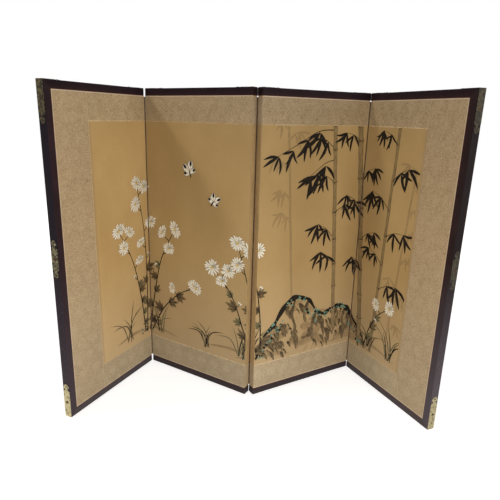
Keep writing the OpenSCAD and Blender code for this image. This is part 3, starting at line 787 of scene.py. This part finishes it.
AGED_BRASS = brass("brass_aged", 0.62, (118, 104, 74), (54, 45, 33))
DARK_NAILS = brass("brass_nails", 0.75, (104, 84, 56), (44, 32, 22))
for hand, (panel, lights) in PLATE_SHADE.items():
    for place, light in lights.items():
        node, skin, bright, dull, nail = PLATES[place]
        # Painted shade: each plate's colours are darkened by its share
        dress(node.format(hand), brass(f"brass_{place}_{hand}", skin, toned(bright, light), toned(dull, light),
                                       (panel, nail)))
for panel in TURNS:
    dress(f"panel_{panel}_rail_end_plates", AGED_BRASS)
    dress(f"panel_{panel}_nails", DARK_NAILS)
print("plates at the outer edges:", len(PLATE_SHADE) * len(PLATES))

# %% [markdown]
# ## Closing the creases
# A real hinge strap passes from one panel's face over the crease and round the other panel's edge,
# so no daylight shows in a fold. The solids need a little clearance round each rounded crease. Here
# a narrow lip of the same brown paper is laid along the corner of each panel's edge. It reaches almost
# to the crease. Both ends of a fold turn about the crease line, so a lip never touches the other side.
# At the two inner folds the top rails meet as closely as that, so a lacquered lip closes their joint too.
# Between two straps the crease has a narrow slit. A round plug on the crease line fills each one: it
# turns about its own middle, so it looks the same at every pose.

# %% Crease lips
# Outlines in millimetres: out from the panel's edge, and in from the face beside the crease
PAPER_LIP = ((0.02, 0.70), (0.37, 0.43), (0.58, 0.72), (0.02, 1.25))
RAIL_LIP = ((0.92, 0.02), (1.46, -0.25), (1.46, 0.15), (0.92, 1.20))
RAIL_LIP_TOP = FRAME_HEIGHT - 0.0005
STRAP_FOOT = 0.024
STRAP_LOW, STRAP_HIGH = STRAP_FOOT + 0.0002, FRAME_HEIGHT - STRAP_FOOT - 0.0002


def finish_of(node):
    return frame["nodes"][node].data.materials[0]


def lip(name, fold, panel, outline, bottom, top, material, slot):
    """A thin wedge along one panel's edge, drawn as an outline and then pulled up."""
    shape = bmesh.new()
    corners = []
    for out, depth in outline:
        x = PANEL_WIDTH + out / 1000 if fold == panel else -out / 1000
        y = PANEL_DEPTH - depth / 1000 if fold == 2 else depth / 1000
        corners.append(shape.verts.new((x, y, bottom)))
    grown = bmesh.ops.extrude_face_region(shape, geom=[shape.faces.new(corners)], use_keep_orig=True)
    tops = [item for item in grown["geom"] if isinstance(item, bmesh.types.BMVert)]
    bmesh.ops.translate(shape, verts=tops, vec=(0, 0, top - bottom))
    bmesh.ops.recalc_face_normals(shape, faces=shape.faces[:])
    bmesh.ops.transform(shape, matrix=PLACES[panel], verts=shape.verts[:])
    piece = into_object(f"{name}_{fold}_{panel}", shape, material)
    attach(piece, f"panel_{panel}")


for fold in crease:
    for panel, hand in ((fold, "left"), (fold + 1, "right")):
        # The paper lips take the strap's finish, so they carry its painted shade of the crease
        lip("crease_lip", fold, panel, PAPER_LIP, STRAP_LOW, STRAP_HIGH,
            finish_of(f"fold_{fold}_straps_{hand}"), "hinge_paper")
        if fold != 1:
            lip("rail_lip", fold, panel, RAIL_LIP, FRAME_HEIGHT - FRAME_FACE, RAIL_LIP_TOP,
                finish_of(f"panel_{panel}_top_rail"), "lacquered_wood")

# %% Crease fills
STRAPS = 5
STRAP_SLIT = 0.0008
SLIT_PITCH = (FRAME_HEIGHT - 2 * STRAP_FOOT + STRAP_SLIT) / STRAPS
FILL_RADIUS = 0.00125
FILL_HEIGHT = 0.00076


def slit_fills(fold):
    """Short round plugs on a fold's crease line, one in each slit between two straps."""
    shape = bmesh.new()
    centre = crease_in_panel(fold, fold)
    for step in range(1, STRAPS):
        height = STRAP_FOOT + step * SLIT_PITCH - STRAP_SLIT / 2
        bmesh.ops.create_cone(shape, cap_ends=True, segments=24, radius1=FILL_RADIUS, radius2=FILL_RADIUS,
                              depth=FILL_HEIGHT, matrix=Matrix.Translation((centre.x, centre.y, height)))
    bmesh.ops.transform(shape, matrix=PLACES[fold], verts=shape.verts[:])
    # The plugs take the strap's finish and its painted shade of the crease
    piece = into_object(f"crease_fill_{fold}", shape, finish_of(f"fold_{fold}_straps_left"))
    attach(piece, f"panel_{fold}")
    print(piece.name, "faces:", len(piece.data.polygons))


for fold in crease:
    slit_fills(fold)

# %% [markdown]
# ## A brush
# The picture could be an image wrapped on the silk, but an image would be soft close up. Here each
# stroke is a thin film with an outline of its own. A stroke starts as a flat grid one unit long and
# one unit wide. Each point of the grid then moves to its place along a smooth line, and out from it
# by half the width there. The film keeps two maps: how far a point is along and across its stroke,
# and the same in millimetres, which the paint uses to draw the hairs of the brush.

# %% Canvas and paints
rng = random.Random(23)
canvas = bmesh.new()
ALONG = canvas.loops.layers.uv.new("along_stroke")
HAIR = canvas.loops.layers.uv.new("brush_hair")
PAINTS = ("ink", "dry_ink", "brown_wash", "pale_wash", "bamboo", "white", "yellow", "olive", "turquoise")
WASH, FAR, ROCK, STEM, LEAF, PETAL, DOT = range(7)
FILM, LAYER_RISE, STROKE_RISE, STROKES_TO_A_LAYER = 0.03, 0.052, 0.0034, 14     # heights in millimetres
SILK_LOW, SILK_HIGH, GROUND = 100, 805, 120
laid = 0


def paint_height(layer):
    """Each stroke lies a hair above the last one, so that no two share a surface."""
    global laid
    laid += 1
    return FILM + LAYER_RISE * layer + STROKE_RISE * (laid % STROKES_TO_A_LAYER)


def part_of(row, at):
    """Which step of a row a place from 0 to 1 falls in, and how far into that step."""
    place = at * (len(row) - 1)
    part = min(int(place), len(row) - 2)
    return part, place - part


def through(points, at):
    """A point of the smooth line through some points, from 0 at its start to 1 at its end."""
    part, t = part_of(points, at)
    a, b = points[max(part - 1, 0)], points[part]
    c, d = points[part + 1], points[min(part + 2, len(points) - 1)]
    return 0.5 * (2 * b + (c - a) * t + (2 * a - 5 * b + 4 * c - d) * t * t
                  + (3 * b - a - 3 * c + d) * t ** 3)


def width_at(widths, at):
    """The width at a place, eased from each given width to the next."""
    part, t = part_of(widths, at)
    t = t * t * (3 - 2 * t)
    return widths[part] * (1 - t) + widths[part + 1] * t


def mark(verts, lies, paint):
    """Writes the two maps and the paint of a fresh film."""
    for face in {face for vert in verts for face in vert.link_faces}:
        face.material_index = PAINTS.index(paint)
        for loop in face.loops:
            loop[ALONG].uv, loop[HAIR].uv = lies[loop.vert]


print("paints:", len(PAINTS), "and layers of film:", DOT + 1)

# %% The brush
FEWEST_STEPS, MOST_STEPS = 3, 30
WAVER, WAVER_PITCH = 0.06, 0.23     # a hand's tremor: its share of the width, and its turns along a stroke


def brush(points, widths, paint, layer, across=2, step=8.0):
    """One stroke of a brush, in millimetres along and up the unrolled silk."""
    points = [Vector(point) for point in points]
    length = sum((b - a).length for a, b in zip(points, points[1:]))
    steps = max(FEWEST_STEPS, min(MOST_STEPS, round(length / step)))
    verts = bmesh.ops.create_grid(canvas, x_segments=steps, y_segments=across, size=0.5)["verts"]
    height, shake = paint_height(layer), rng.uniform(0, 6.28)
    start = rng.uniform(0, 400), rng.uniform(0, 400)
    lies = {}
    for vert in verts:
        along, side = vert.co.x + 0.5, vert.co.y
        here = through(points, along)
        ahead = (through(points, min(1, along + 0.02)) - through(points, max(0, along - 0.02))).normalized()
        width = width_at(widths, along) * (1 + WAVER * math.sin(shake + along * length * WAVER_PITCH))
        spot = here + Vector((-ahead.y, ahead.x)) * side * width
        vert.co = (spot.x, -height, spot.y)
        lies[vert] = (along, side + 0.5), (start[0] + along * length, start[1] + side * width)
    mark(verts, lies, paint)


def dot(x, z, radius, paint):
    """A round touch of the brush tip, pressed a little to one side."""
    verts = bmesh.ops.create_circle(canvas, cap_ends=True, segments=8, radius=1)["verts"]
    height, turn, press = paint_height(DOT), rng.uniform(0, 3.14), rng.uniform(0.75, 1.15)
    lies = {}
    for vert in verts:
        out = Vector((vert.co.x * radius, vert.co.y * radius * press * rng.uniform(0.85, 1.1)))
        out.rotate(Matrix.Rotation(turn, 2))
        lies[vert] = (0.5 + out.x / radius / 2, 0.5 + out.y / radius / 2), (x + out.x, z + out.y)
        vert.co = (x + out.x, -height, z + out.y)
    mark(verts, lies, paint)


def out_from(x, z, angle, length):
    """The point at a distance from another, at an angle in degrees."""
    return x + math.cos(math.radians(angle)) * length, z + math.sin(math.radians(angle)) * length

# %% [markdown]
# ## What is painted
# The subject is a stock one, made up for this screen: bamboo over a mossy rock, with white
# chrysanthemums, grasses and two pale butterflies. It runs across the folds as if the silk lay
# unrolled, and is cut at each panel's edge afterwards. Bamboo is built the way it is taught: one
# stroke for each length of culm, a hooked mark at each joint, and pointed blades in bunches.

# %% Pointed leaves


def scaled(width, *shares):
    return [width * share for share in shares]


def blade(x, z, angle, length, width, paint="ink", layer=LEAF):
    """One pointed leaf."""
    bend = rng.uniform(-0.10, 0.10)
    middle = Vector(out_from(x, z, angle, length * 0.5)) + Vector(out_from(0, 0, angle + 90, length * bend))
    brush([(x, z), middle, out_from(x, z, angle, length)],
          scaled(width, 0.10, 0.62, 1.0, 0.86, 0.50, 0.03), paint, layer, step=length / 6)


def bunch(x, z, aim, size, leaves, paint="ink", layer=LEAF):
    """Leaves that fan out from the end of a twig."""
    for index in range(leaves):
        fan = (index / max(1, leaves - 1) - 0.5) * rng.uniform(85, 115)
        reach = size * (1.05 - abs(fan) / 180) * rng.uniform(0.75, 1.1)
        blade(x + rng.uniform(-2, 2), z + rng.uniform(-2, 2), aim + fan + rng.uniform(-9, 9), reach,
              reach * rng.uniform(0.13, 0.17) + 1.6, paint, layer)

# %% Culms and twigs
SHORTEST_CULM, THICK_CULM, JOINT_GAP = 8, 12, 1.3     # millimetres


def culm(foot, head, width, joint, paint="bamboo", layer=STEM, ink="ink"):
    """A bamboo stem, in lengths with a joint between each two. Returns the joints."""
    foot, line = Vector(foot), Vector(head) - Vector(foot)
    up = line.normalized()
    lean = math.degrees(math.atan2(line.y, line.x))
    ring = [1.0, 2.6, 1.5, 2.6, 1.0] if width > THICK_CULM else [0.8, 1.6, 0.8]
    joints, at = [], 0.0
    while at < line.length - SHORTEST_CULM:
        long = min(joint * rng.uniform(0.9, 1.1), line.length - at)
        a, b = foot + up * (at + JOINT_GAP), foot + up * (at + long - JOINT_GAP)
        bow = Vector(out_from(0, 0, lean + 90, rng.uniform(-1.2, 1.2)))
        brush([a, (a + b) / 2 + bow, b], scaled(width, 1.10, 0.94, 0.90, 0.94, 1.12), paint, layer,
              across=4, step=20)
        here = foot + up * (at + long)
        joints.append(here)
        left, right = (out_from(*here, lean + side, width * 0.66) for side in (90, -90))
        brush([(left[0], left[1] + 1.6), out_from(*here, lean + 180, 1.4), (right[0], right[1] + 1.6)],
              ring, ink, LEAF if layer == STEM else layer)
        at += long
        joint *= 1.04
    return joints


def twig(joint, aim, length, leaves, size, paint="ink", layer=STEM):
    """A thin side shoot with bunches of leaves on the way and at its end."""
    x, z = joint
    end = out_from(x, z, aim, length)
    bow = out_from(*((Vector(end) + Vector(joint)) / 2), 90, length * 0.10)
    brush([(x, z), bow, end], [2.4, 1.8, 1.3, 0.8], paint, layer, step=12)
    down = -90 + (aim - 90) * -0.35
    leaf_layer = LEAF if paint == "ink" else FAR
    bunch(*end, down + rng.uniform(-14, 14), size, leaves, paint, leaf_layer)
    if length > 40:
        bunch(*bow, down + rng.uniform(-20, 20), size * 0.85, max(2, leaves - 1), paint, leaf_layer)

# %% Bamboo
BAMBOO_TOP = SILK_HIGH

far = culm((889, 239), (845, 802), 9, 66, "pale_wash", FAR, "pale_wash") + \
    culm((1309, 169), (1354, 693), 8, 62, "pale_wash", FAR, "pale_wash")
for joint in far[3:]:
    twig(joint, rng.choice((38, 142)) + rng.uniform(-12, 12), rng.uniform(28, 52), 4, 50, "pale_wash", FAR)

near_culms = [culm((1186, 118), (1107, BAMBOO_TOP), 21, 84), culm((1060, 158), (1009, BAMBOO_TOP), 15, 74),
              culm((1243, 106), (1273, BAMBOO_TOP), 12, 70)]
for stem, sides in zip(near_culms, ((148, 30), (152, 150, 26), (26, 150))):
    for index, joint in enumerate(stem[2:-1]):
        aim = sides[index % len(sides)] + rng.uniform(-12, 12)
        twig(joint, aim, rng.uniform(46, 92), 4 + index % 2, rng.uniform(52, 72))
for x, z, aim, size in ((955, 786, -112, 74), (913, 764, -122, 66), (865, 735, -118, 62),
                        (817, 721, -128, 58), (983, 693, -108, 70), (931, 661, -120, 62)):
    bunch(x, z, aim, size, 4)
brush([(1009, 794), (952, 790), (887, 758), (813, 723)], [3.0, 2.4, 1.8, 0.9], "ink", STEM)
brush([(1018, 709), (979, 699), (927, 663)], [2.6, 2.0, 1.0], "ink", STEM)
print("strokes so far:", laid)

# %% [markdown]
# ## Rock and moss
# The rock has a broad brown wash under broken outlines. Short strokes of a nearly dry brush follow
# its slopes, thick on the shaded side and sparse on the lit one. Moss is dabs of turquoise and ink.

# %% The rock's outline
ROCK_TOP = ((763, 116), (788, 185), (826, 221), (866, 278), (904, 296), (950, 282), (985, 235), (1018, 221),
            (1058, 241), (1107, 227), (1144, 185), (1186, 156), (1220, 116))
BESIDE_ROCK = 108


def rock_height(x):
    """How high the rock is at a place along the silk."""
    for (x0, z0), (x1, z1) in zip(ROCK_TOP, ROCK_TOP[1:]):
        if x0 <= x <= x1:
            return z0 + (z1 - z0) * (x - x0) / (x1 - x0)
    return BESIDE_ROCK


print("the rock is", max(z for x, z in ROCK_TOP) - GROUND, "mm high")

# %% Rock


def rough_brush(points, widths, paint="dry_ink"):
    brush(points, widths, paint, ROCK, across=4, step=6)


for _ in range(30):
    x = rng.uniform(795, 1184)
    z = rng.uniform(126, max(138, rock_height(x) - 14))
    slope = rng.uniform(-35, 35)
    a, b = out_from(x, z, slope + 180, rng.uniform(24, 46)), out_from(x, z, slope, rng.uniform(24, 46))
    brush([a, (x, z + 4), b], [12, 34, 38, 26, 8], "brown_wash", WASH, across=4)
for first, last, wide in ((0, 3, 13), (2, 5, 16), (4, 6, 11), (6, 8, 13), (8, 10, 16), (9, 12, 11)):
    rough_brush(ROCK_TOP[first:last + 1], scaled(wide, 0.3, 1.1, 0.7, 1.2, 0.6, 0.2), "ink")
for line in (((901, 290), (889, 243), (904, 194), (885, 138)), ((985, 235), (971, 189), (981, 140)),
             ((828, 219), (842, 179), (831, 134)), ((1058, 239), (1072, 195), (1060, 148)),
             ((1107, 225), (1098, 185), (1114, 138)), ((952, 280), (938, 233), (948, 203))):
    rough_brush(line, [5, 14, 9, 12, 3])
for x, z, wide in ((805, 165, 26), (875, 251, 24), (929, 251, 20), (1007, 193, 24), (1067, 209, 22),
                   (1128, 179, 24), (859, 195, 20), (967, 161, 22), (1037, 144, 20), (1098, 138, 22),
                   (1166, 144, 20), (908, 146, 22)):
    slant = rng.uniform(-82, -58)
    rough_brush([out_from(x, z, slant + 180, 26), (x + 3, z), out_from(x, z, slant, 28)],
                [4, wide * 0.8, wide, wide * 0.5, 3])
for _ in range(150):
    x = rng.uniform(777, 1203)
    z = rng.uniform(GROUND, max(GROUND + 4, rock_height(x) - 8))
    shaded = math.sin(x / 31.5) > rng.uniform(-0.9, 0.9)
    fall = rng.uniform(-78, -48) if shaded else rng.uniform(-120, -100)
    length = rng.uniform(16, 42) if shaded else rng.uniform(10, 24)
    wide = rng.uniform(5, 12) if shaded else rng.uniform(3, 6)
    rough_brush([(x, z), out_from(x, z, fall + 10, length * 0.5), out_from(x, z, fall, length)],
                scaled(wide, 0.4, 1.0, 0.8, 0.3), "dry_ink" if shaded else "brown_wash")
print("strokes with the rock:", laid)

# %% Ground and moss
for x0, x1, z in ((616, 795, 130), (1166, 1354, 124), (721, 887, 116), (1035, 1245, 112),
                  (206, 372, 128), (320, 494, 122)):
    brush([(x0, z), ((x0 + x1) / 2, z + 9), (x1, z - 4)], [2, 9, 14, 8, 2], "brown_wash", WASH, across=4)
for middle in (793, 842, 889, 934, 990, 1032, 1077, 1131, 1180, 821, 962, 1098):
    deep = rng.choice((0, 0, 0, 34, 70))
    for index in range(11):
        x = middle + rng.gauss(0, 11)
        dot(x, max(GROUND, rock_height(x) - deep + rng.gauss(-3, 5)), rng.uniform(1.8, 5.0),
            ("turquoise", "ink", "turquoise", "turquoise", "ink")[index % 5])
print("strokes with the moss:", laid)

# %% [markdown]
# ## Chrysanthemums, grasses and butterflies
# A bloom is two rings of narrow petals, each a short stroke with a fine dark rim, laid round a dab
# of yellow. A bloom seen from the side is the same, pressed flat. Stems bend through a few points,
# and leaves are bunches of blunt lobes with a dark vein.

# %% Blooms and leaves


def bloom(x, z, radius, tilt=0.0, squash=1.0):
    """A white flower. Squash presses it along the tilt direction, as if it were seen from the side."""
    def pressed(angle, reach):
        spot = Vector(out_from(0, 0, angle - tilt, reach))
        spot.x *= squash
        spot.rotate(Matrix.Rotation(math.radians(tilt), 2))
        return x + spot.x, z + spot.y
    for ring, (petals, reach, wide) in enumerate(((15, 1.0, 0.30), (11, 0.68, 0.27))):
        for index in range(petals):
            angle = 360 * (index + 0.5 * ring) / petals + rng.uniform(-7, 7)
            far_end = radius * reach * rng.uniform(0.88, 1.08)
            body = radius * wide
            bent = pressed(angle + rng.uniform(-5, 5), far_end * 0.6)
            brush([pressed(angle, radius * 0.10), bent, pressed(angle, far_end)],
                  scaled(body, 0.35, 0.8, 1.0, 0.92, 0.35), "white", PETAL, step=far_end / 5)
    for _ in range(7):
        spot = pressed(rng.uniform(0, 360), radius * rng.uniform(0, 0.17))
        dot(*spot, radius * 0.085, "yellow")
    for _ in range(3):
        dot(*pressed(rng.uniform(0, 360), radius * 0.2), radius * 0.05, "olive")


def bud(x, z, radius, aim):
    """Three closed petals in a ring of small green ones."""
    for fan in (-32, 0, 32):
        tip = out_from(x, z, aim + fan, radius * rng.uniform(1.0, 1.25))
        brush([(x, z), out_from(x, z, aim + fan * 1.4, radius * 0.6), tip],
              scaled(radius, 0.3, 0.7, 0.6, 0.1), "white", PETAL, step=radius / 4)
    for fan in (-60, -15, 25, 65):
        blade(x, z, aim + fan, radius * 0.62, radius * 0.26, "olive", DOT)


def flower_leaf(x, z, aim, size):
    """A lobed leaf with dark veins."""
    flesh = "dry_ink" if size > 31 else "olive"
    for fan, reach in ((-70, 0.55), (-38, 0.8), (0, 1.0), (38, 0.8), (70, 0.55)):
        tip = out_from(x, z, aim + fan * 0.8, size * reach)
        brush([(x, z), out_from(x, z, aim + fan * 0.6, size * reach * 0.5), tip],
              scaled(size, 0.10, 0.28, 0.34, 0.24, 0.06), flesh, STEM, step=size / 4)
    for fan in (-32, 0, 32):
        brush([(x, z), out_from(x, z, aim + fan, size * 0.8)], [1.8, 1.2, 0.4], "ink", LEAF, step=size / 3)

# %% Flower stems
SMALLEST_BLOOM = 10     # millimetres. A smaller flower is a bud.


def flower_stem(points, blooms, leaves):
    """A stem through some points, the flowers on it as (along, side, radius), and leaves."""
    brush(points, [5.0, 4.2, 3.6, 2.8, 2.0], "ink", STEM, step=12)
    spots = [Vector(point) for point in points]
    for at, side, radius in blooms:
        base = through(spots, at)
        head = Vector(out_from(*base, 90 - side * 48, radius * 1.5 if side else 0))
        if side:
            bow = (base + head) / 2 + Vector((side * 4, 0))
            brush([base, bow, head], [2.8, 2.2, 1.6], "ink", STEM, step=10)
        if radius < SMALLEST_BLOOM:
            bud(*head, radius, 90 - side * 30)
        else:
            bloom(*head, radius, rng.uniform(0, 180), rng.uniform(0.62, 1.0))
    for at in leaves:
        base = through(spots, at)
        side = rng.choice((-1, 1))
        flower_leaf(*base, 90 - side * rng.uniform(40, 110), rng.uniform(26, 44))

# %% Plants
# Each plant: the points of its stem, its flowers, and where its leaves spring
PLANTS = (
    ([(348, 120), (330, 249), (294, 382), (234, 491)],
     ((1.0, 0, 29), (0.86, 1, 25), (0.74, -1, 24), (0.6, 1, 22), (0.5, -1, 9)),
     (0.12, 0.2, 0.3, 0.4, 0.46)),
    ([(358, 118), (363, 290), (356, 461), (325, 622)],
     ((1.0, 0, 27), (0.9, 1, 24), (0.8, -1, 25), (0.68, 1, 27), (0.57, -1, 22), (0.5, 1, 9)),
     (0.1, 0.22, 0.34, 0.42)),
    ([(372, 118), (396, 251), (430, 382), (487, 483)],
     ((1.0, 0, 28), (0.84, -1, 25), (0.7, 1, 23), (0.56, -1, 9)), (0.1, 0.24, 0.36, 0.48, 0.6)),
    ([(381, 116), (435, 209), (503, 275), (569, 306)],
     ((1.0, 0, 25), (0.8, 1, 23), (0.62, -1, 20)), (0.15, 0.3, 0.45, 0.6)),
    ([(767, 120), (740, 225), (697, 320), (630, 388)],
     ((1.0, 0, 27), (0.84, 1, 25), (0.7, -1, 23), (0.52, 1, 9)), (0.1, 0.22, 0.36, 0.5, 0.62)),
    ([(777, 120), (774, 239), (756, 358), (718, 477)],
     ((1.0, 0, 28), (0.86, 1, 24), (0.74, -1, 25), (0.6, 1, 9)), (0.16, 0.3, 0.44, 0.58)),
    ([(1213, 118), (1229, 179), (1262, 239), (1311, 282)],
     ((1.0, 0, 24), (0.75, -1, 22), (0.5, 1, 9)), (0.2, 0.4, 0.6)),
)
for plant in PLANTS:
    flower_stem(*plant)
print("the highest stroke reaches", round(max(vert.co.z for vert in canvas.verts)), "mm, before the cut")

# %% Grasses and butterflies
TUFTS = ((267, 110, 9), (416, 96, 8), (608, 84, 8), (744, 100, 8), (1227, 90, 7), (1332, 110, 9))
for root, reach, blades in TUFTS:
    for _ in range(blades):
        x, lean = root + rng.uniform(-16, 16), rng.choice((-1, 1)) * rng.uniform(8, 62)
        length = reach * rng.uniform(0.6, 1.2)
        middle = out_from(x, GROUND, 90 - lean * 0.5, length * 0.55)
        foot = (x, GROUND - 2 + rng.uniform(-4, 6))
        brush([foot, middle, out_from(*middle, 90 - lean * 1.5, length * 0.5)],
              [2.4, 4.4, 3.0, 0.3], rng.choice(("ink", "olive", "dry_ink")), STEM, step=10)
WINGS = ((60, 1.0, 0.62), (108, 0.92, 0.60), (10, 0.62, 0.46), (158, 0.6, 0.46))     # angle, reach, width
for x, z, turn, size in ((548, 661, 24, 38), (630, 582, -28, 33)):
    for angle, reach, wide in WINGS:
        aim, long = angle + turn, size * reach
        brush([(x, z), out_from(x, z, aim + 4, long * 0.55), out_from(x, z, aim, long)],
              scaled(size * wide, 0.2, 0.7, 1.0, 0.8, 0.2), "white", PETAL, across=4, step=4)
        blade(*out_from(x, z, aim, long * 0.55), aim, long * 0.47, size * 0.24, "ink", DOT)
    head = turn + 84
    brush([out_from(x, z, turn - 96, size * 0.34), (x, z), out_from(x, z, head, size * 0.22)],
          [1.2, 4.6, 4.0, 2.0], "ink", DOT, step=3)
    for feeler in (-28, 28):
        brush([out_from(x, z, head, size * 0.2), out_from(x, z, head + feeler, size * 0.62)],
              [0.8, 0.5], "ink", DOT, step=6)
for index in range(26):
    x = rng.uniform(320, 398) if index % 2 else rng.uniform(739, 791)
    dot(x, rng.uniform(116, 138), rng.uniform(1.6, 3.4), ("turquoise", "ink", "olive")[index % 3])
print("strokes:", laid, "faces:", len(canvas.faces))

# %% [markdown]
# ## Paints
# Ink that soaks into silk keeps the silk's colour between the hairs of the brush. So each paint
# mixes its own colour with the silk's tone at that spot. The mix falls towards the rim and the end
# of a stroke, streaked along it. Body colours such as white are nearly solid and keep a fine rim.

# %% Paint recipes


def paint(name, panel, thin, thick, load, streaks=0.0, fade=0.0, soft=0.0, rim=0.0, rim_colour=(74, 58, 40),
          shine=0.30, sheen=0.08):
    """How much paint a stroke holds: its load, less where the hairs run dry, at its end and at its rim."""
    made, tree, shader = finish(f"{name}_{panel}")
    ground, threads = silk_tone(tree, panel_coords(tree, panel), panel)
    lie = add(tree, "ShaderNodeUVMap", {"uv_map": "along_stroke"}).outputs[0]
    hair = add(tree, "ShaderNodeUVMap", {"uv_map": "brush_hair"}).outputs[0]
    side = times(tree, math_node(tree, "ABSOLUTE", minus(tree, axis(tree, lie, "Y"), 0.5)), 2.0)
    streak = noise(tree, stretch(tree, hair, (0.035, 1.3, 0)), 1, 2, 0.6)
    blot = noise(tree, stretch(tree, hair, (0.10, 0.16, 0)), 1, 3, 0.6)
    held = plus(tree, load, times(tree, minus(tree, streak, 0.5), streaks * 4))
    held = minus(tree, held, times(tree, axis(tree, lie, "X"), fade))
    held = minus(tree, held, times(tree, math_node(tree, "POWER", side, 3.0), soft), clamp=True)
    colour = ramp(tree, blot, (0.35, rgb(*thin)), (0.65, rgb(*thick)))
    if rim:
        colour = lay(tree, colour, rise(tree, side, 1 - rim, 1 - rim * 0.45), 0.8, rim_colour)
    silk_surface(tree, shader, blend(tree, held, ground, colour), threads, shine, sheen)
    return made


def paint_box(panel):
    """The paints of one panel, in the order of their names."""
    return [
        paint("ink", panel, (36, 29, 22), (20, 16, 13), 1.10, 0.12, 0.06, shine=0.12, sheen=0.0),
        paint("dry_ink", panel, (52, 39, 26), (26, 20, 15), 1.0, 0.80, 0.42, 0.12, shine=0.16, sheen=0.02),
        paint("brown_wash", panel, (126, 98, 62), (96, 72, 44), 0.62, 0.35, 0.15, 0.55),
        paint("pale_wash", panel, (132, 108, 72), (112, 90, 58), 0.55, 0.15, 0.10, 0.15),
        paint("bamboo", panel, (118, 98, 62), (82, 66, 42), 0.72, 0.55, 0.10, 0.0, 0.42, (52, 42, 30)),
        paint("white", panel, (226, 216, 192), (240, 233, 214), 0.95, 0.10, 0.0, 0.0, 0.34),
        paint("yellow", panel, (196, 164, 62), (214, 186, 88), 1.0),
        paint("olive", panel, (92, 92, 58), (62, 64, 42), 0.86, 0.30, 0.15),
        paint("turquoise", panel, (104, 142, 118), (78, 120, 104), 0.95, 0.10),
    ]

# %% [markdown]
# ## Hanging the picture
# The canvas is copied once for each panel and cut at the silk's edges with four planes. The cut film
# is pulled back to the silk, which gives every stroke its own thickness and a closed shape. Then it
# is stood in the panel's place, and rides on the panel.

# %% Cut and hang
EDGES = {1: (146, 376), 2: (0, 376), 3: (0, 376), 4: (0, 230)}     # the silk's sides, in millimetres
UNDER_SILK = -0.002                                                # where the back of each film lies


def hang(panel):
    """Cuts out one panel's share of the picture and stands it on its silk."""
    shift = (panel - 1) * PITCH * 1000
    left, right = (edge + shift for edge in EDGES[panel])
    part = canvas.copy()
    for spot, outward in (((left, 0, 0), (-1, 0, 0)), ((right, 0, 0), (1, 0, 0)),
                          ((0, 0, SILK_LOW), (0, 0, -1)), ((0, 0, SILK_HIGH), (0, 0, 1))):
        bmesh.ops.bisect_plane(part, geom=part.verts[:] + part.edges[:] + part.faces[:], plane_co=spot,
                               plane_no=outward, clear_outer=True)
    grown = bmesh.ops.extrude_face_region(part, geom=part.faces[:], use_keep_orig=True)
    for item in grown["geom"]:
        if isinstance(item, bmesh.types.BMVert):
            item.co.y = UNDER_SILK
    bmesh.ops.recalc_face_normals(part, faces=part.faces[:])
    flat = (Matrix.Translation((0, SILK_DEPTH, 0)) @ Matrix.Scale(0.001, 4)
            @ Matrix.Translation((-shift, 0, 0)))
    bmesh.ops.transform(part, matrix=PLACES[panel] @ flat, verts=part.verts[:])
    piece = into_object(f"painting_panel_{panel}", part, *paint_box(panel))
    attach(piece, f"panel_{panel}")
    print(piece.name, "faces:", len(piece.data.polygons))


for panel in TURNS:
    hang(panel)
canvas.free()
